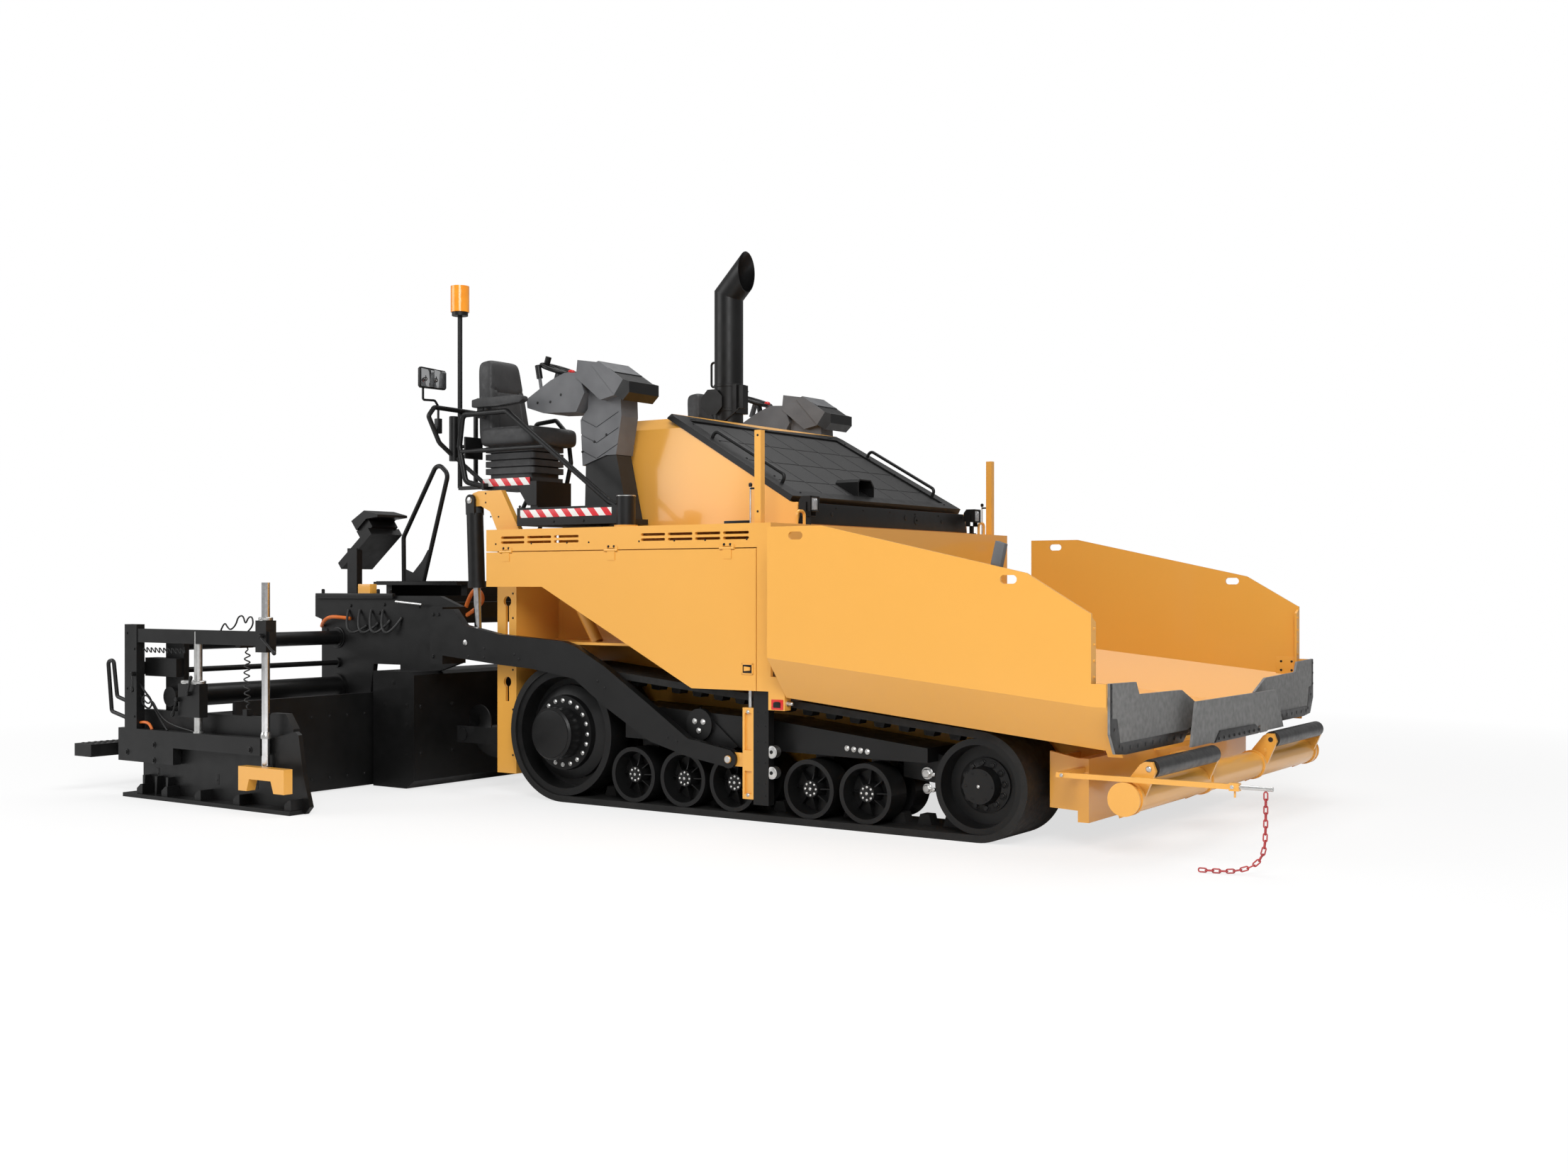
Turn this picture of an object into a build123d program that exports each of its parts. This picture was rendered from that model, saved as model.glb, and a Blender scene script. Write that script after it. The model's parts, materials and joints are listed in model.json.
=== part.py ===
"""Tracked asphalt paver with a hopper in front and an extending screed behind.

Units are millimetres. +X points forward to the hopper, +Y to the machine's left and +Z up.
The origin lies on the ground, under the middle of the machine's length and width.
Pieces are drawn on the left side, where Y is positive, and mirrored for the right side.
"""
import os
from math import atan2, cos, degrees, hypot, pi, sin, tan

from build123d import *

os.makedirs("parts", exist_ok=True)

# Overall places
FRONT_X = 3915                 # tip of the guide rod, the foremost point
REAR_X = -3915                 # rear edge of the walkways, the hindmost point
DECK_Z = 1733                  # top of the tractor's deck
FIT = 0.3                      # running clearance at pins, shafts and seats
PASS = 6                       # clearance between pieces that move past each other

# Tracks
TRACK_Y = 1171.5               # middle of the belt
BELT_W, BELT_T = 457, 40
BELT_IN_Y, BELT_OUT_Y = TRACK_Y - BELT_W / 2, TRACK_Y + BELT_W / 2
LUG_W, LUG_H, LUG_BASE, LUG_TIP, LUG_COUNT = 80, 58, 92, 56, 49
DRIVE_X, DRIVE_R = -652, 440   # R is over the belt, so the centre lies at this height
IDLER_X, IDLER_R = 2295, 298
BOGIE_XS = (-76, 307, 680, 1215, 1592)
BOGIE_R = 170
WHEEL_GAP = 100                # slot between the twin discs, where the lugs pass
WHEEL_IN = 10                  # the discs end this far inside the belt's edge
AXLE_R, IDLER_AXLE_R, DRIVE_AXLE_R = 28, 60, 150
HUB_CAP_R, HUB_CAP_T = 165, 120
MOTOR_R = 130
BEAM_HALF = 165                # half the width of the track frame's beam

# Tractor body, outward from the frame plates to the side panels
FRAME_T = 30
FRAME_Y = BELT_IN_Y - 73       # inner face of the main side plates
FRAME_LOW_Z = 300
ARM_Y, ARM_T = BELT_OUT_Y + 10, 55
SIDE_Y = ARM_Y + 90            # outer face of the side panels
PANEL_T = 25                   # side panels and doors, as thick as the whole door
BODY_REAR_X, BODY_FRONT_X = -1215, 1028
SEAM_Z = 1587                  # top edge of the side door
DOOR_LOW_Z, DOOR_FRONT_X = 766, 925
DOOR_KNEE_X, DOOR_KNEE_Z = -732, 1365
DOOR_TOE_X = 458               # where the slope meets the low edge
DOOR_GAP = 6
LEAF_XS, LEAF_L = (-1040, -160, 720), 60     # the door's hinges along its top edge
KNOT_R, KNOT_PIN_R = 9, 4
DECK_T = 16
COLUMN_X, COLUMN_W = -1300, 170
COLUMN_Y, COLUMN_D = ARM_Y - 100, 70
COLUMN_LOW_Z = 140
SHELF_Z = 1016                 # top of the shelf over the track

# Hood
HOOD_TOP_Z, HOOD_EDGE_Z = 2441, 2370
HOOD_REAR_X, HOOD_CORNER_X, HOOD_CREST_X = -555, -365, -132
HOOD_TOE_X, HOOD_TOE_Z = 877, 1872
HOOD_FRONT_X = 924
HOOD_FOOT_W = SIDE_Y - 420
HOOD_W, HOOD_CORNER_W = HOOD_FOOT_W - 80, HOOD_FOOT_W - 280
HOOD_T, HOOD_CROWN = 20, 70
GRILLE_T, GRILLE_RIM, MESH_T = 36, 125, 6
GRILLE_LEAF_YS = (186 - HOOD_W, 0, HOOD_W - 186)
EXHAUST_X, EXHAUST_R, EXHAUST_BEND_Z, EXHAUST_MOUTH_X = -365, 100, 3385, -215
EXHAUST_WALL = 5

# Hopper
WING_Y = SIDE_Y + 190          # outer face of the wing
WING_T = 16
WING_REAR_X, WING_FRONT_X = 1135, 3075
WING_TOP_Z = 1700
WING_KINKS = ((1495, 1700), (2725, 1435), (3060, 1240))
CREASE_Z, FLOOR_Z, FLOOR_Y = 968, 736, SIDE_Y    # at the rear edge
SLOPE = 0.0993                 # fall of crease, floor and hinge per mm forward
HINGE_Y, HINGE_R = FRAME_Y - 110, 15
KNUCKLE_R = 30
CONVEYOR_DROP = 110            # the conveyor's floor below the wings' floor
NOSE_X, FLAP_T = 3168, 14      # where the side flaps stand
APRON_X, APRON_PIN_Z, APRON_PIN_R = 3243, 522, 7
APRON_ARM_YS, APRON_ARM_T = (300, -330), 30

# Front beam
TUBE_X, TUBE_Z, TUBE_R, TUBE_HALF = 3170, 307, 78, 1511
ROLLER_X, ROLLER_Z, ROLLER_R, ROLLER_PIN_R = 3268, 456, 48, 15
ROLLER_IN_Y, ROLLER_OUT_Y = 512, TUBE_HALF - 111
EAR_T = 22
SWING_X, SWING_R, SWING_HALF = 2941, 25, 70      # upright pin on which the push beam swings
BOX_REAR_X, BOX_FRONT_X, BOX_LOW_Z, BOX_TOP_Z = 2804, 2866, 133, 468
BOX_HALF = TUBE_HALF - 271
ROD_Y, ROD_Z, ROD_HALF = 11 - TUBE_HALF, 408, 13
CHAIN_R = 13

# Tow arms
TOW_X, TOW_Z = 701, 357
TOW_PIN_R, TOW_NOSE_R = 22, 53
TONGUE_T = 20
SLIDER_X0, SLIDER_X1, SLIDER_Z0, SLIDER_Z1 = 802, 879, 134, 664
GUIDE_X1, GUIDE_Z0, GUIDE_Z1 = 986, 105, 1100
GUIDE_ROLLER_ZS, GUIDE_ROLLER_R = (415, 295), 36
TOW_TRAVEL, TOW_ROD_R = 150, 14

# Screed lift cylinders
CYL_Y, CYL_R, CYL_ROD_R, CYL_EYE_R = ARM_Y - 65, 55, 24, 38
CYL_TOP_X, CYL_TOP_Z = -1475, 1937
CYL_EYE_X, CYL_EYE_Z = -1439, 997
CYL_PLATE_T, CLEVIS_T = 40, 20

# Screed
MOLD_X, MOLD_HALF, MOLD_TOP_Z, NOSE_Z = -1885, 1500, 790, 58
SCREED_REAR_X = -2285
PLATE_Z, PLATE_T = 4, 25
CHEEK_Y0, CHEEK_Y1 = 1210, 1250
SLIDE_ROWS = ((1000, 50), (820, 18), (650, 72))    # height and radius of the slide tubes
SLIDE_X = {"right": -2935, "left": -2760}          # the two sides' tubes pass each other
SLIDE_IN_Y = 900
WALK_Z, WALK_REAR_X, WALK_FRONT_X = 1403, -3180, -2300
EXT_FRONT_X, EXT_REAR_X = -2315, -2700
EXT_IN_Y, EXT_OUT_Y, EXT_Z0, EXT_Z1 = 1440, 2600, 8, 550
GATE_Y, GATE_T = EXT_OUT_Y + 55, 30
RAIL_Y0, RAIL_Y1 = GATE_Y + 37, GATE_Y + 97
RAIL_Z0, RAIL_Z1 = 1004, 1092
GATE_BEAM_Z, GATE_TRAVEL = 227, 80
POST_X, POST_R, SHORT_POST_X = -1866, 25, -2523
CORD_X, CORD_Y, CORD_R, CORD_TOP_Z, CORD_LOW_Z = -2163, EXT_OUT_Y + 28, 21, 985, 600
AUGER_X, AUGER_Z, AUGER_R, AUGER_SHAFT_R = -1640, 372, 190, 42
AUGER_IN_Y, AUGER_OUT_Y, AUGER_PITCH, FLIGHT_T = 60, COLUMN_Y - 60, 380, 12

# Operator stations, drawn about the upright pivot of each
PIVOT_X, PIVOT_Y, PIVOT_R = -125, SIDE_Y - 100, 58
PAD_R, PAD_Z = 74, DECK_Z + 12
STATION_LOW_Z, STATION_FLOOR_Z = 1757, 1790
TRAY_Z = 2052
SEAT_Y, SEAT_TURN = -260, 7
CONSOLE_Y = -250
RAIL_R = 18


def block(x0, x1, y0, y1, z0, z1):
    """A block between six planes."""
    return Pos((x0 + x1) / 2, (y0 + y1) / 2, (z0 + z1) / 2) * Box(x1 - x0, y1 - y0, z1 - z0)


def plate_xz(points, y0, y1):
    """A plate whose side view is the outline, between two Y planes."""
    face = make_face(Polyline([(x, y0, z) for x, z in points], close=True))
    return extrude(face, amount=y1 - y0, dir=(0, 1, 0))


def plate_yz(points, x0, x1, fall=0):
    """A plate whose front view is the outline, sheared down by the fall per mm forward."""
    face = make_face(Polyline([(x0, y, z) for y, z in points], close=True))
    return extrude(face, amount=(x1 - x0) * hypot(1, fall), dir=(1, 0, -fall))


def plate_xy(points, z0, z1):
    """A plate whose plan view is the outline, between two Z planes."""
    face = make_face(Polyline([(x, y, z0) for x, y in points], close=True))
    return extrude(face, amount=z1 - z0, dir=(0, 0, 1))


def bar(start, end, radius):
    """A round bar between two points."""
    a, b = Vector(*start), Vector(*end)
    place = Plane(origin=a, z_dir=b - a)
    return place * Cylinder(radius, (b - a).length, align=(Align.CENTER, Align.CENTER, Align.MIN))


def bar_y(x, z, y0, y1, radius):
    """A round bar across the machine."""
    return bar((x, y0, z), (x, y1, z), radius)


def bar_x(y, z, x0, x1, radius):
    """A round bar along the machine."""
    return bar((x0, y, z), (x1, y, z), radius)


def turned(points):
    """A solid turned about the Z axis, from its half section in radius and height."""
    return revolve(make_face(Polyline([(r, 0, z) for r, z in points], close=True)), Axis.Z)


def ring_of(shape, count):
    """The shape and its copies, evenly spaced about the Z axis."""
    return [Rot(0, 0, 360 * number / count) * shape for number in range(count)]


def bent_tube(points, radius, bend):
    """A round tube along a path with rounded corners."""
    path = FilletPolyline(*points, radius=bend)
    return sweep(Plane(origin=path @ 0, z_dir=path % 0) * Circle(radius), path)


def rounded_block(x0, x1, y0, y1, z0, z1, radius):
    """A block whose four upright corners are rounded."""
    face = Pos((x0 + x1) / 2, (y0 + y1) / 2, z0) * RectangleRounded(x1 - x0, y1 - y0, radius)
    return extrude(face, amount=z1 - z0)


def flipped(shape):
    """The mirror image across the machine's middle plane."""
    return mirror(shape, about=Plane.XZ)


def sided(shape, side):
    """The piece on its side: the left as drawn, the right as its mirror image."""
    return shape if side == "left" else flipped(shape)


def save(name, *pieces):
    """One STEP file for one node."""
    solids = [solid for piece in pieces for solid in piece.solids()]
    export_step(solids[0] if len(solids) == 1 else Compound(solids), f"parts/{name}.step")


def save_both(name, *pieces):
    """One node that holds the pieces and their mirror images."""
    save(name, *pieces, *[flipped(piece) for piece in pieces])


TURN = 2 * atan2(DRIVE_R - IDLER_R, IDLER_X - DRIVE_X)    # tilt of the belt's upper run


def belt_face(inset):
    """The belt's side outline moved inward by the inset, as a face at Y 0."""
    drive_r, idler_r = DRIVE_R - inset, IDLER_R - inset
    nx, nz = sin(TURN), cos(TURN)
    idler_top = (IDLER_X + idler_r * nx, 0, IDLER_R + idler_r * nz)
    drive_top = (DRIVE_X + drive_r * nx, 0, DRIVE_R + drive_r * nz)
    idler_low, drive_low = (IDLER_X, 0, inset), (DRIVE_X, 0, inset)
    return make_face([
        Line(drive_low, idler_low),
        ThreePointArc(idler_low, (IDLER_X + idler_r, 0, IDLER_R), idler_top),
        Line(idler_top, drive_top),
        ThreePointArc(drive_top, (DRIVE_X - drive_r, 0, DRIVE_R), drive_low),
    ])


def lug_places():
    """Evenly spaced places on the belt's inner face: x, z and the outward direction."""
    drive_r, idler_r = DRIVE_R - BELT_T, IDLER_R - BELT_T
    run = IDLER_X - DRIVE_X
    nose, tail = idler_r * (pi - TURN), drive_r * (pi + TURN)
    total = 2 * run + nose + tail
    for number in range(LUG_COUNT):
        s = total * (number + 0.5) / LUG_COUNT
        if s < run:
            yield DRIVE_X + s, BELT_T, -pi / 2
            continue
        s -= run
        if s < nose:
            angle = -pi / 2 + s / idler_r
            yield IDLER_X + idler_r * cos(angle), IDLER_R + idler_r * sin(angle), angle
            continue
        s -= nose
        if s < run:
            angle = pi / 2 - TURN
            x = IDLER_X + idler_r * cos(angle) - s * sin(angle)
            yield x, IDLER_R + idler_r * sin(angle) + s * cos(angle), angle
            continue
        angle = pi / 2 - TURN + (s - run) / drive_r
        yield DRIVE_X + drive_r * cos(angle), DRIVE_R + drive_r * sin(angle), angle


def make_tracks():
    """Two rubber belts, each a fixed loop with its guide lugs."""
    ring = belt_face(0) - belt_face(BELT_T)
    belt = extrude(Pos(0, BELT_IN_Y, 0) * ring, amount=BELT_W, dir=(0, 1, 0))
    root = 6
    outline = [(-LUG_BASE / 2, root), (LUG_BASE / 2, root), (LUG_BASE / 2, 0),
               (LUG_TIP / 2, -LUG_H), (-LUG_TIP / 2, -LUG_H), (-LUG_BASE / 2, 0)]
    lug = plate_xz(outline, -LUG_W / 2, LUG_W / 2)
    lugs = [Pos(x, TRACK_Y, z) * Rot(0, 90 - degrees(angle), 0) * lug for x, z, angle in lug_places()]
    belt = belt + lugs
    for side in ("left", "right"):
        save(f"track_{side}", sided(belt, side))


def wheel_disc(radius, rim, hub_r, hub_z, web_z, web_t):
    """One dished disc of a twin wheel, turned about Z, with its outer side up."""
    low, top = WHEEL_GAP / 2, BELT_W / 2 - WHEEL_IN
    out = radius - FIT
    return turned([(0, low), (hub_r, low), (hub_r + 8, web_z - web_t), (out - rim - 6, web_z - web_t),
                   (out - rim, low), (out, low), (out, top), (out - rim, top), (out - rim - 12, web_z),
                   (hub_r + 14, web_z), (hub_r, hub_z), (0, hub_z)])


def twin(outer, inner, axle_r):
    """A twin wheel about Z: the outer disc, the inner disc turned over, and the axle between."""
    return outer + Rot(180, 0, 0) * inner + Cylinder(axle_r, WHEEL_GAP + 4)


def on_axle(wheel, x, z):
    """The wheel moved to its axle, with its outer side to the machine's left."""
    return Pos(x, TRACK_Y, z) * Rot(-90, 0, 0) * wheel


def make_wheels():
    """Drive wheels behind, idlers in front and five twin bogie wheels on each side."""
    edge = BELT_W / 2 - WHEEL_IN
    drive_r = DRIVE_R - BELT_T
    disc = wheel_disc(drive_r, 46, 235, edge, 110, 30)
    step = turned([(225, edge - 30), (300, edge - 72), (300, 100), (225, 100)])
    cap = turned([(0, edge - 2), (HUB_CAP_R, edge - 2), (HUB_CAP_R, edge + HUB_CAP_T - 12),
                  (HUB_CAP_R - 12, edge + HUB_CAP_T), (0, edge + HUB_CAP_T)])
    drive = twin(disc + step + cap, disc, DRIVE_AXLE_R)
    save_both("drive_wheels", on_axle(drive, DRIVE_X, DRIVE_R))
    idler_disc = wheel_disc(IDLER_R - BELT_T, 34, 95, edge - 10, 120, 20)
    collar = turned([(90, 110), (150, 110), (150, 132), (90, 150)])
    idler = twin(idler_disc + collar, idler_disc, IDLER_AXLE_R)
    save_both("idler_wheels", on_axle(idler, IDLER_X, IDLER_R))
    rim, hub_r, hub_z, web_z, rib_t = 26, 48, 200, 120, 6
    bogie_disc = wheel_disc(BOGIE_R, rim, hub_r, hub_z, web_z, 18)
    rib = plate_xz([(hub_r - 2, web_z - 1), (BOGIE_R - rim - 11, web_z - 1), (BOGIE_R - rim - 9, web_z + 20),
                    (hub_r - 2, hub_z - 20)], -rib_t / 2, rib_t / 2)
    ribbed = bogie_disc + ring_of(rib, 8)
    bogie = twin(ribbed, bogie_disc, AXLE_R)
    save_both("bogie_wheels", *[on_axle(bogie, x, BELT_T + BOGIE_R) for x in BOGIE_XS])


def make_undercarriage():
    """The black track frames, with an arm down to each bogie axle and one ahead to the idler."""
    beam_y0, beam_y1 = TRACK_Y - BEAM_HALF, TRACK_Y + BEAM_HALF
    beam = plate_xz([(-180, 430), (-180, 640), (900, 590), (1960, 480), (1960, 400), (1500, 400)],
                    beam_y0, beam_y1)
    arm_y0, arm_y1 = TRACK_Y - WHEEL_GAP / 2 + PASS, TRACK_Y + WHEEL_GAP / 2 - PASS
    axle_z = BELT_T + BOGIE_R
    frame = beam
    for x in BOGIE_XS:
        leg = plate_xz([(x - 40, axle_z - 20), (x + 40, axle_z - 20), (x + 70, 440), (x - 70, 440)],
                       arm_y0, arm_y1)
        frame = frame + (leg + bar_y(x, axle_z, arm_y0, arm_y1, 52))
    arm = plate_xz([(1740, 410), (1740, 300), (2295, 240), (2295, 356), (1960, 440)], arm_y0, arm_y1)
    frame = frame + arm + bar_y(IDLER_X, IDLER_R, arm_y0, arm_y1, 95)
    for x, z, radius in ((900, 500, 80), (100, 540, 60)):
        frame = frame + bar_y(x, z, FRAME_Y + FRAME_T, beam_y0 + 2, radius)
    pivot_x, pivot_z, cap_t = 415, 540, 34
    triangle = plate_xz([(407, 643), (687, 422), (640, 400), (312, 400), (300, 440)], beam_y1 - 2, beam_y1 + 12)
    frame = frame + triangle + bar_y(pivot_x, pivot_z, beam_y1 - 2, beam_y1 + cap_t, 95)
    strut_y = (beam_y1 + TRACK_Y) / 2
    frame = frame + bar_x(strut_y, 452, 1616, 1909, 30)
    frame = frame & block(-400, 2600, 0, BELT_OUT_Y - 5, 0, 700)
    for x in BOGIE_XS:
        frame = frame - bar_y(x, axle_z, arm_y0 - 1, arm_y1 + 1, AXLE_R + FIT)
    frame = frame - bar_y(IDLER_X, IDLER_R, arm_y0 - 1, arm_y1 + 1, IDLER_AXLE_R + FIT)
    save_both("undercarriage", frame)


def apron_arm(y0, y1):
    """One of the frame's two arms that reach over the push beam to the apron's pin."""
    pin_x = APRON_X - APRON_PIN_R
    arm = plate_xz([(BOX_FRONT_X - 1, BOX_TOP_Z - 32), (BOX_FRONT_X - 1, BOX_TOP_Z),
                    (pin_x - 15, APRON_PIN_Z + 12), (pin_x, APRON_PIN_Z + 12), (pin_x, APRON_PIN_Z - 12),
                    (pin_x - 53, APRON_PIN_Z - 20)], y0, y1)
    eye = bar_y(pin_x, APRON_PIN_Z, y0, y1, 2 * APRON_PIN_R)
    return arm + eye - bar_y(pin_x, APRON_PIN_Z, y0 - 1, y1 + 1, APRON_PIN_R + FIT)


def rear_column():
    """A hollow rear column, open inward, with its two keyhole slots."""
    column = block(COLUMN_X, COLUMN_X + COLUMN_W, COLUMN_Y - COLUMN_D, COLUMN_Y, COLUMN_LOW_Z, DOOR_KNEE_Z)
    wall = 20
    column = column - block(COLUMN_X - 1, COLUMN_X + COLUMN_W - wall, COLUMN_Y - COLUMN_D - 1,
                            COLUMN_Y - wall, COLUMN_LOW_Z - 1, DOOR_KNEE_Z - wall)
    slot_x, slot_r = COLUMN_X + 90, 15
    for top, low in ((1269, 1050), (740, 612)):
        slot = block(slot_x - slot_r, slot_x + slot_r, COLUMN_Y - 30, COLUMN_Y + 1, low, top)
        column = column - slot - bar_y(slot_x, top, COLUMN_Y - 30, COLUMN_Y + 1, 34)
    return column


def make_main_frame():
    """The yellow chassis: two side plates, rear columns, belly, cross walls and the front box."""
    top_rear = DECK_Z - DECK_T
    fall = SLOPE * (BOX_REAR_X - WING_REAR_X)
    hopper_top = FLOOR_Z - 12
    wall = 20
    rear = COLUMN_X + COLUMN_W
    outline = [(rear, FRAME_LOW_Z), (rear, top_rear), (BODY_FRONT_X, top_rear), (BODY_FRONT_X, hopper_top),
               (WING_REAR_X, hopper_top), (BOX_REAR_X, hopper_top - fall), (BOX_REAR_X, 200), (2500, 200),
               (2300, FRAME_LOW_Z)]
    frame = plate_xz(outline, FRAME_Y, FRAME_Y + FRAME_T)
    frame = frame + block(rear, WING_REAR_X, 0, FRAME_Y, FRAME_LOW_Z, FRAME_LOW_Z + wall)
    frame = frame + block(BOX_REAR_X, BOX_FRONT_X, 0, BOX_HALF, BOX_LOW_Z, BOX_TOP_Z)
    gusset_x = 2645
    gusset = plate_xz([(BOX_REAR_X, BOX_LOW_Z + 60), (BOX_REAR_X, BOX_TOP_Z), (gusset_x, BOX_TOP_Z + 30),
                       (gusset_x, 200)], BOX_HALF - 25, BOX_HALF)
    frame = frame + gusset + block(gusset_x, gusset_x + 25, FRAME_Y + FRAME_T, BOX_HALF, 200, BOX_TOP_Z)
    frame = frame + rear_column()
    frame = frame + block(rear - wall, rear, 0, COLUMN_Y - wall, 900, DOOR_KNEE_Z)
    frame = frame + block(rear - wall, rear, FRAME_Y, COLUMN_Y - wall, COLUMN_LOW_Z + 160, 900)
    frame = frame + block(rear, BODY_FRONT_X, FRAME_Y + FRAME_T, BELT_OUT_Y - 5, SHELF_Z - 16, SHELF_Z)
    brace = bar((-1000, TRACK_Y, top_rear), (-550, TRACK_Y, SHELF_Z - PASS), 38)
    frame = frame + (brace & block(-1200, 0, BELT_IN_Y, BELT_OUT_Y, SHELF_Z - 8, top_rear))
    frame = frame + block(BODY_FRONT_X - wall, BODY_FRONT_X, 0, FRAME_Y, 900, top_rear)
    motor = bar_y(DRIVE_X, DRIVE_R, FRAME_Y + FRAME_T - 1, BELT_IN_Y + WHEEL_IN - FIT, MOTOR_R)
    frame = frame + motor
    frame = frame + flipped(frame)
    for z0 in (TUBE_Z - SWING_HALF - PASS - EAR_T, TUBE_Z + SWING_HALF + PASS):
        frame = frame + block(BOX_FRONT_X - 1, SWING_X + 45, -90, 90, z0, z0 + EAR_T)
    pin_half = SWING_HALF + PASS + EAR_T
    frame = frame + bar((SWING_X, 0, TUBE_Z - pin_half), (SWING_X, 0, TUBE_Z + pin_half), SWING_R)
    for y in APRON_ARM_YS:
        frame = frame + apron_arm(y, y + APRON_ARM_T)
    save("main_frame", frame)


def make_engine():
    """The engine, one plain block low in the tractor."""
    block_half = 420
    save("engine_block", block(-300, 700, -block_half, block_half, FRAME_LOW_Z + 20, 1500))


def make_body():
    """Fixed side panels with their vent slots, the deck, and the two hinged side doors."""
    y0, y1 = SIDE_Y - PANEL_T, SIDE_Y
    band_z = SEAM_Z + DOOR_GAP
    side = block(BODY_REAR_X, BODY_FRONT_X, y0, y1, band_z, DECK_Z)
    side = side + block(DOOR_FRONT_X + DOOR_GAP, BODY_FRONT_X, y0, y1, DOOR_LOW_Z, band_z)
    slots = [(-1085 + n * 228, 205) for n in range(3)] + [(75 + n * 205, 185) for n in range(4)]
    for x, length in slots:
        for z in (1649, 1680):
            slot = Pos(x + length / 2, y0 + PANEL_T / 2, z) * Rot(90, 0, 0) * SlotOverall(length, 16)
            side = side - extrude(slot, amount=PANEL_T, both=True)
    wall, inner_y = 20, FRAME_Y + FRAME_T
    step_y = ARM_Y - 2 * PASS
    side = side + block(BODY_FRONT_X - wall, BODY_FRONT_X, inner_y, y0 + 1, 1120, DECK_Z - DECK_T)
    side = side + block(BODY_REAR_X, BODY_REAR_X + wall, inner_y, step_y, 1460, DECK_Z - DECK_T)
    side = side + block(BODY_REAR_X, BODY_REAR_X + wall, step_y - 1, y0 + 1, band_z, DECK_Z - DECK_T)
    side = side + block(BODY_FRONT_X - 16, WING_REAR_X - 10, SIDE_Y - 60, SIDE_Y, 660, 850)
    outline = [(BODY_REAR_X, SEAM_Z), (BODY_REAR_X, DOOR_KNEE_Z), (DOOR_KNEE_X, DOOR_KNEE_Z),
               (DOOR_TOE_X, DOOR_LOW_Z), (DOOR_FRONT_X, DOOR_LOW_Z), (DOOR_FRONT_X, SEAM_Z)]
    door = plate_xz(outline, y0, y1)
    knot_z = SEAM_Z + DOOR_GAP / 2
    for x in LEAF_XS:
        half, ear = LEAF_L / 2, 22
        room = bar_x(SIDE_Y, knot_z, x - half - ear - FIT, x + half + ear + FIT, KNOT_R + PASS / 2)
        side, door = side - room, door - room
        knot = bar_x(SIDE_Y, knot_z, x - half, x + half, KNOT_R)
        knot = knot + block(x - half, x + half, SIDE_Y - 5, SIDE_Y + 4, knot_z - 62, knot_z)
        door = door + (knot - bar_x(SIDE_Y, knot_z, x - half - 1, x + half + 1, KNOT_PIN_R + FIT))
        for x0 in (x - half - ear, x + half + FIT):
            side = side + bar_x(SIDE_Y, knot_z, x0, x0 + ear - FIT, KNOT_R)
            side = side + block(x0, x0 + ear - FIT, SIDE_Y - 5, SIDE_Y + 4, knot_z, knot_z + 22)
        side = side + bar_x(SIDE_Y, knot_z, x - half - 2, x + half + 2, KNOT_PIN_R)
    save_both("side_panels", side)
    for side_name in ("left", "right"):
        save(f"side_door_{side_name}", sided(door, side_name))
    deck = block(BODY_REAR_X, BODY_FRONT_X, -y0, y0, DECK_Z - DECK_T, DECK_Z)
    for y in (PIVOT_Y, -PIVOT_Y):
        deck = deck + bar((PIVOT_X, y, DECK_Z - 1), (PIVOT_X, y, PAD_Z - FIT), PAD_R)
    save("deck", deck)


def hood_block(inset, rise, x0, x1):
    """The hood's cross-section made smaller by the inset and taller by the rise, from x0 to x1."""
    foot, edge = HOOD_FOOT_W - inset, HOOD_W - inset
    top, edge_z = HOOD_TOP_Z + rise, HOOD_EDGE_Z + rise
    section = [(foot, DECK_Z), (edge, edge_z), (edge - HOOD_CROWN, top), (HOOD_CROWN - edge, top),
               (-edge, edge_z), (-foot, DECK_Z)]
    return plate_yz(section, x0, x1)


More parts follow.
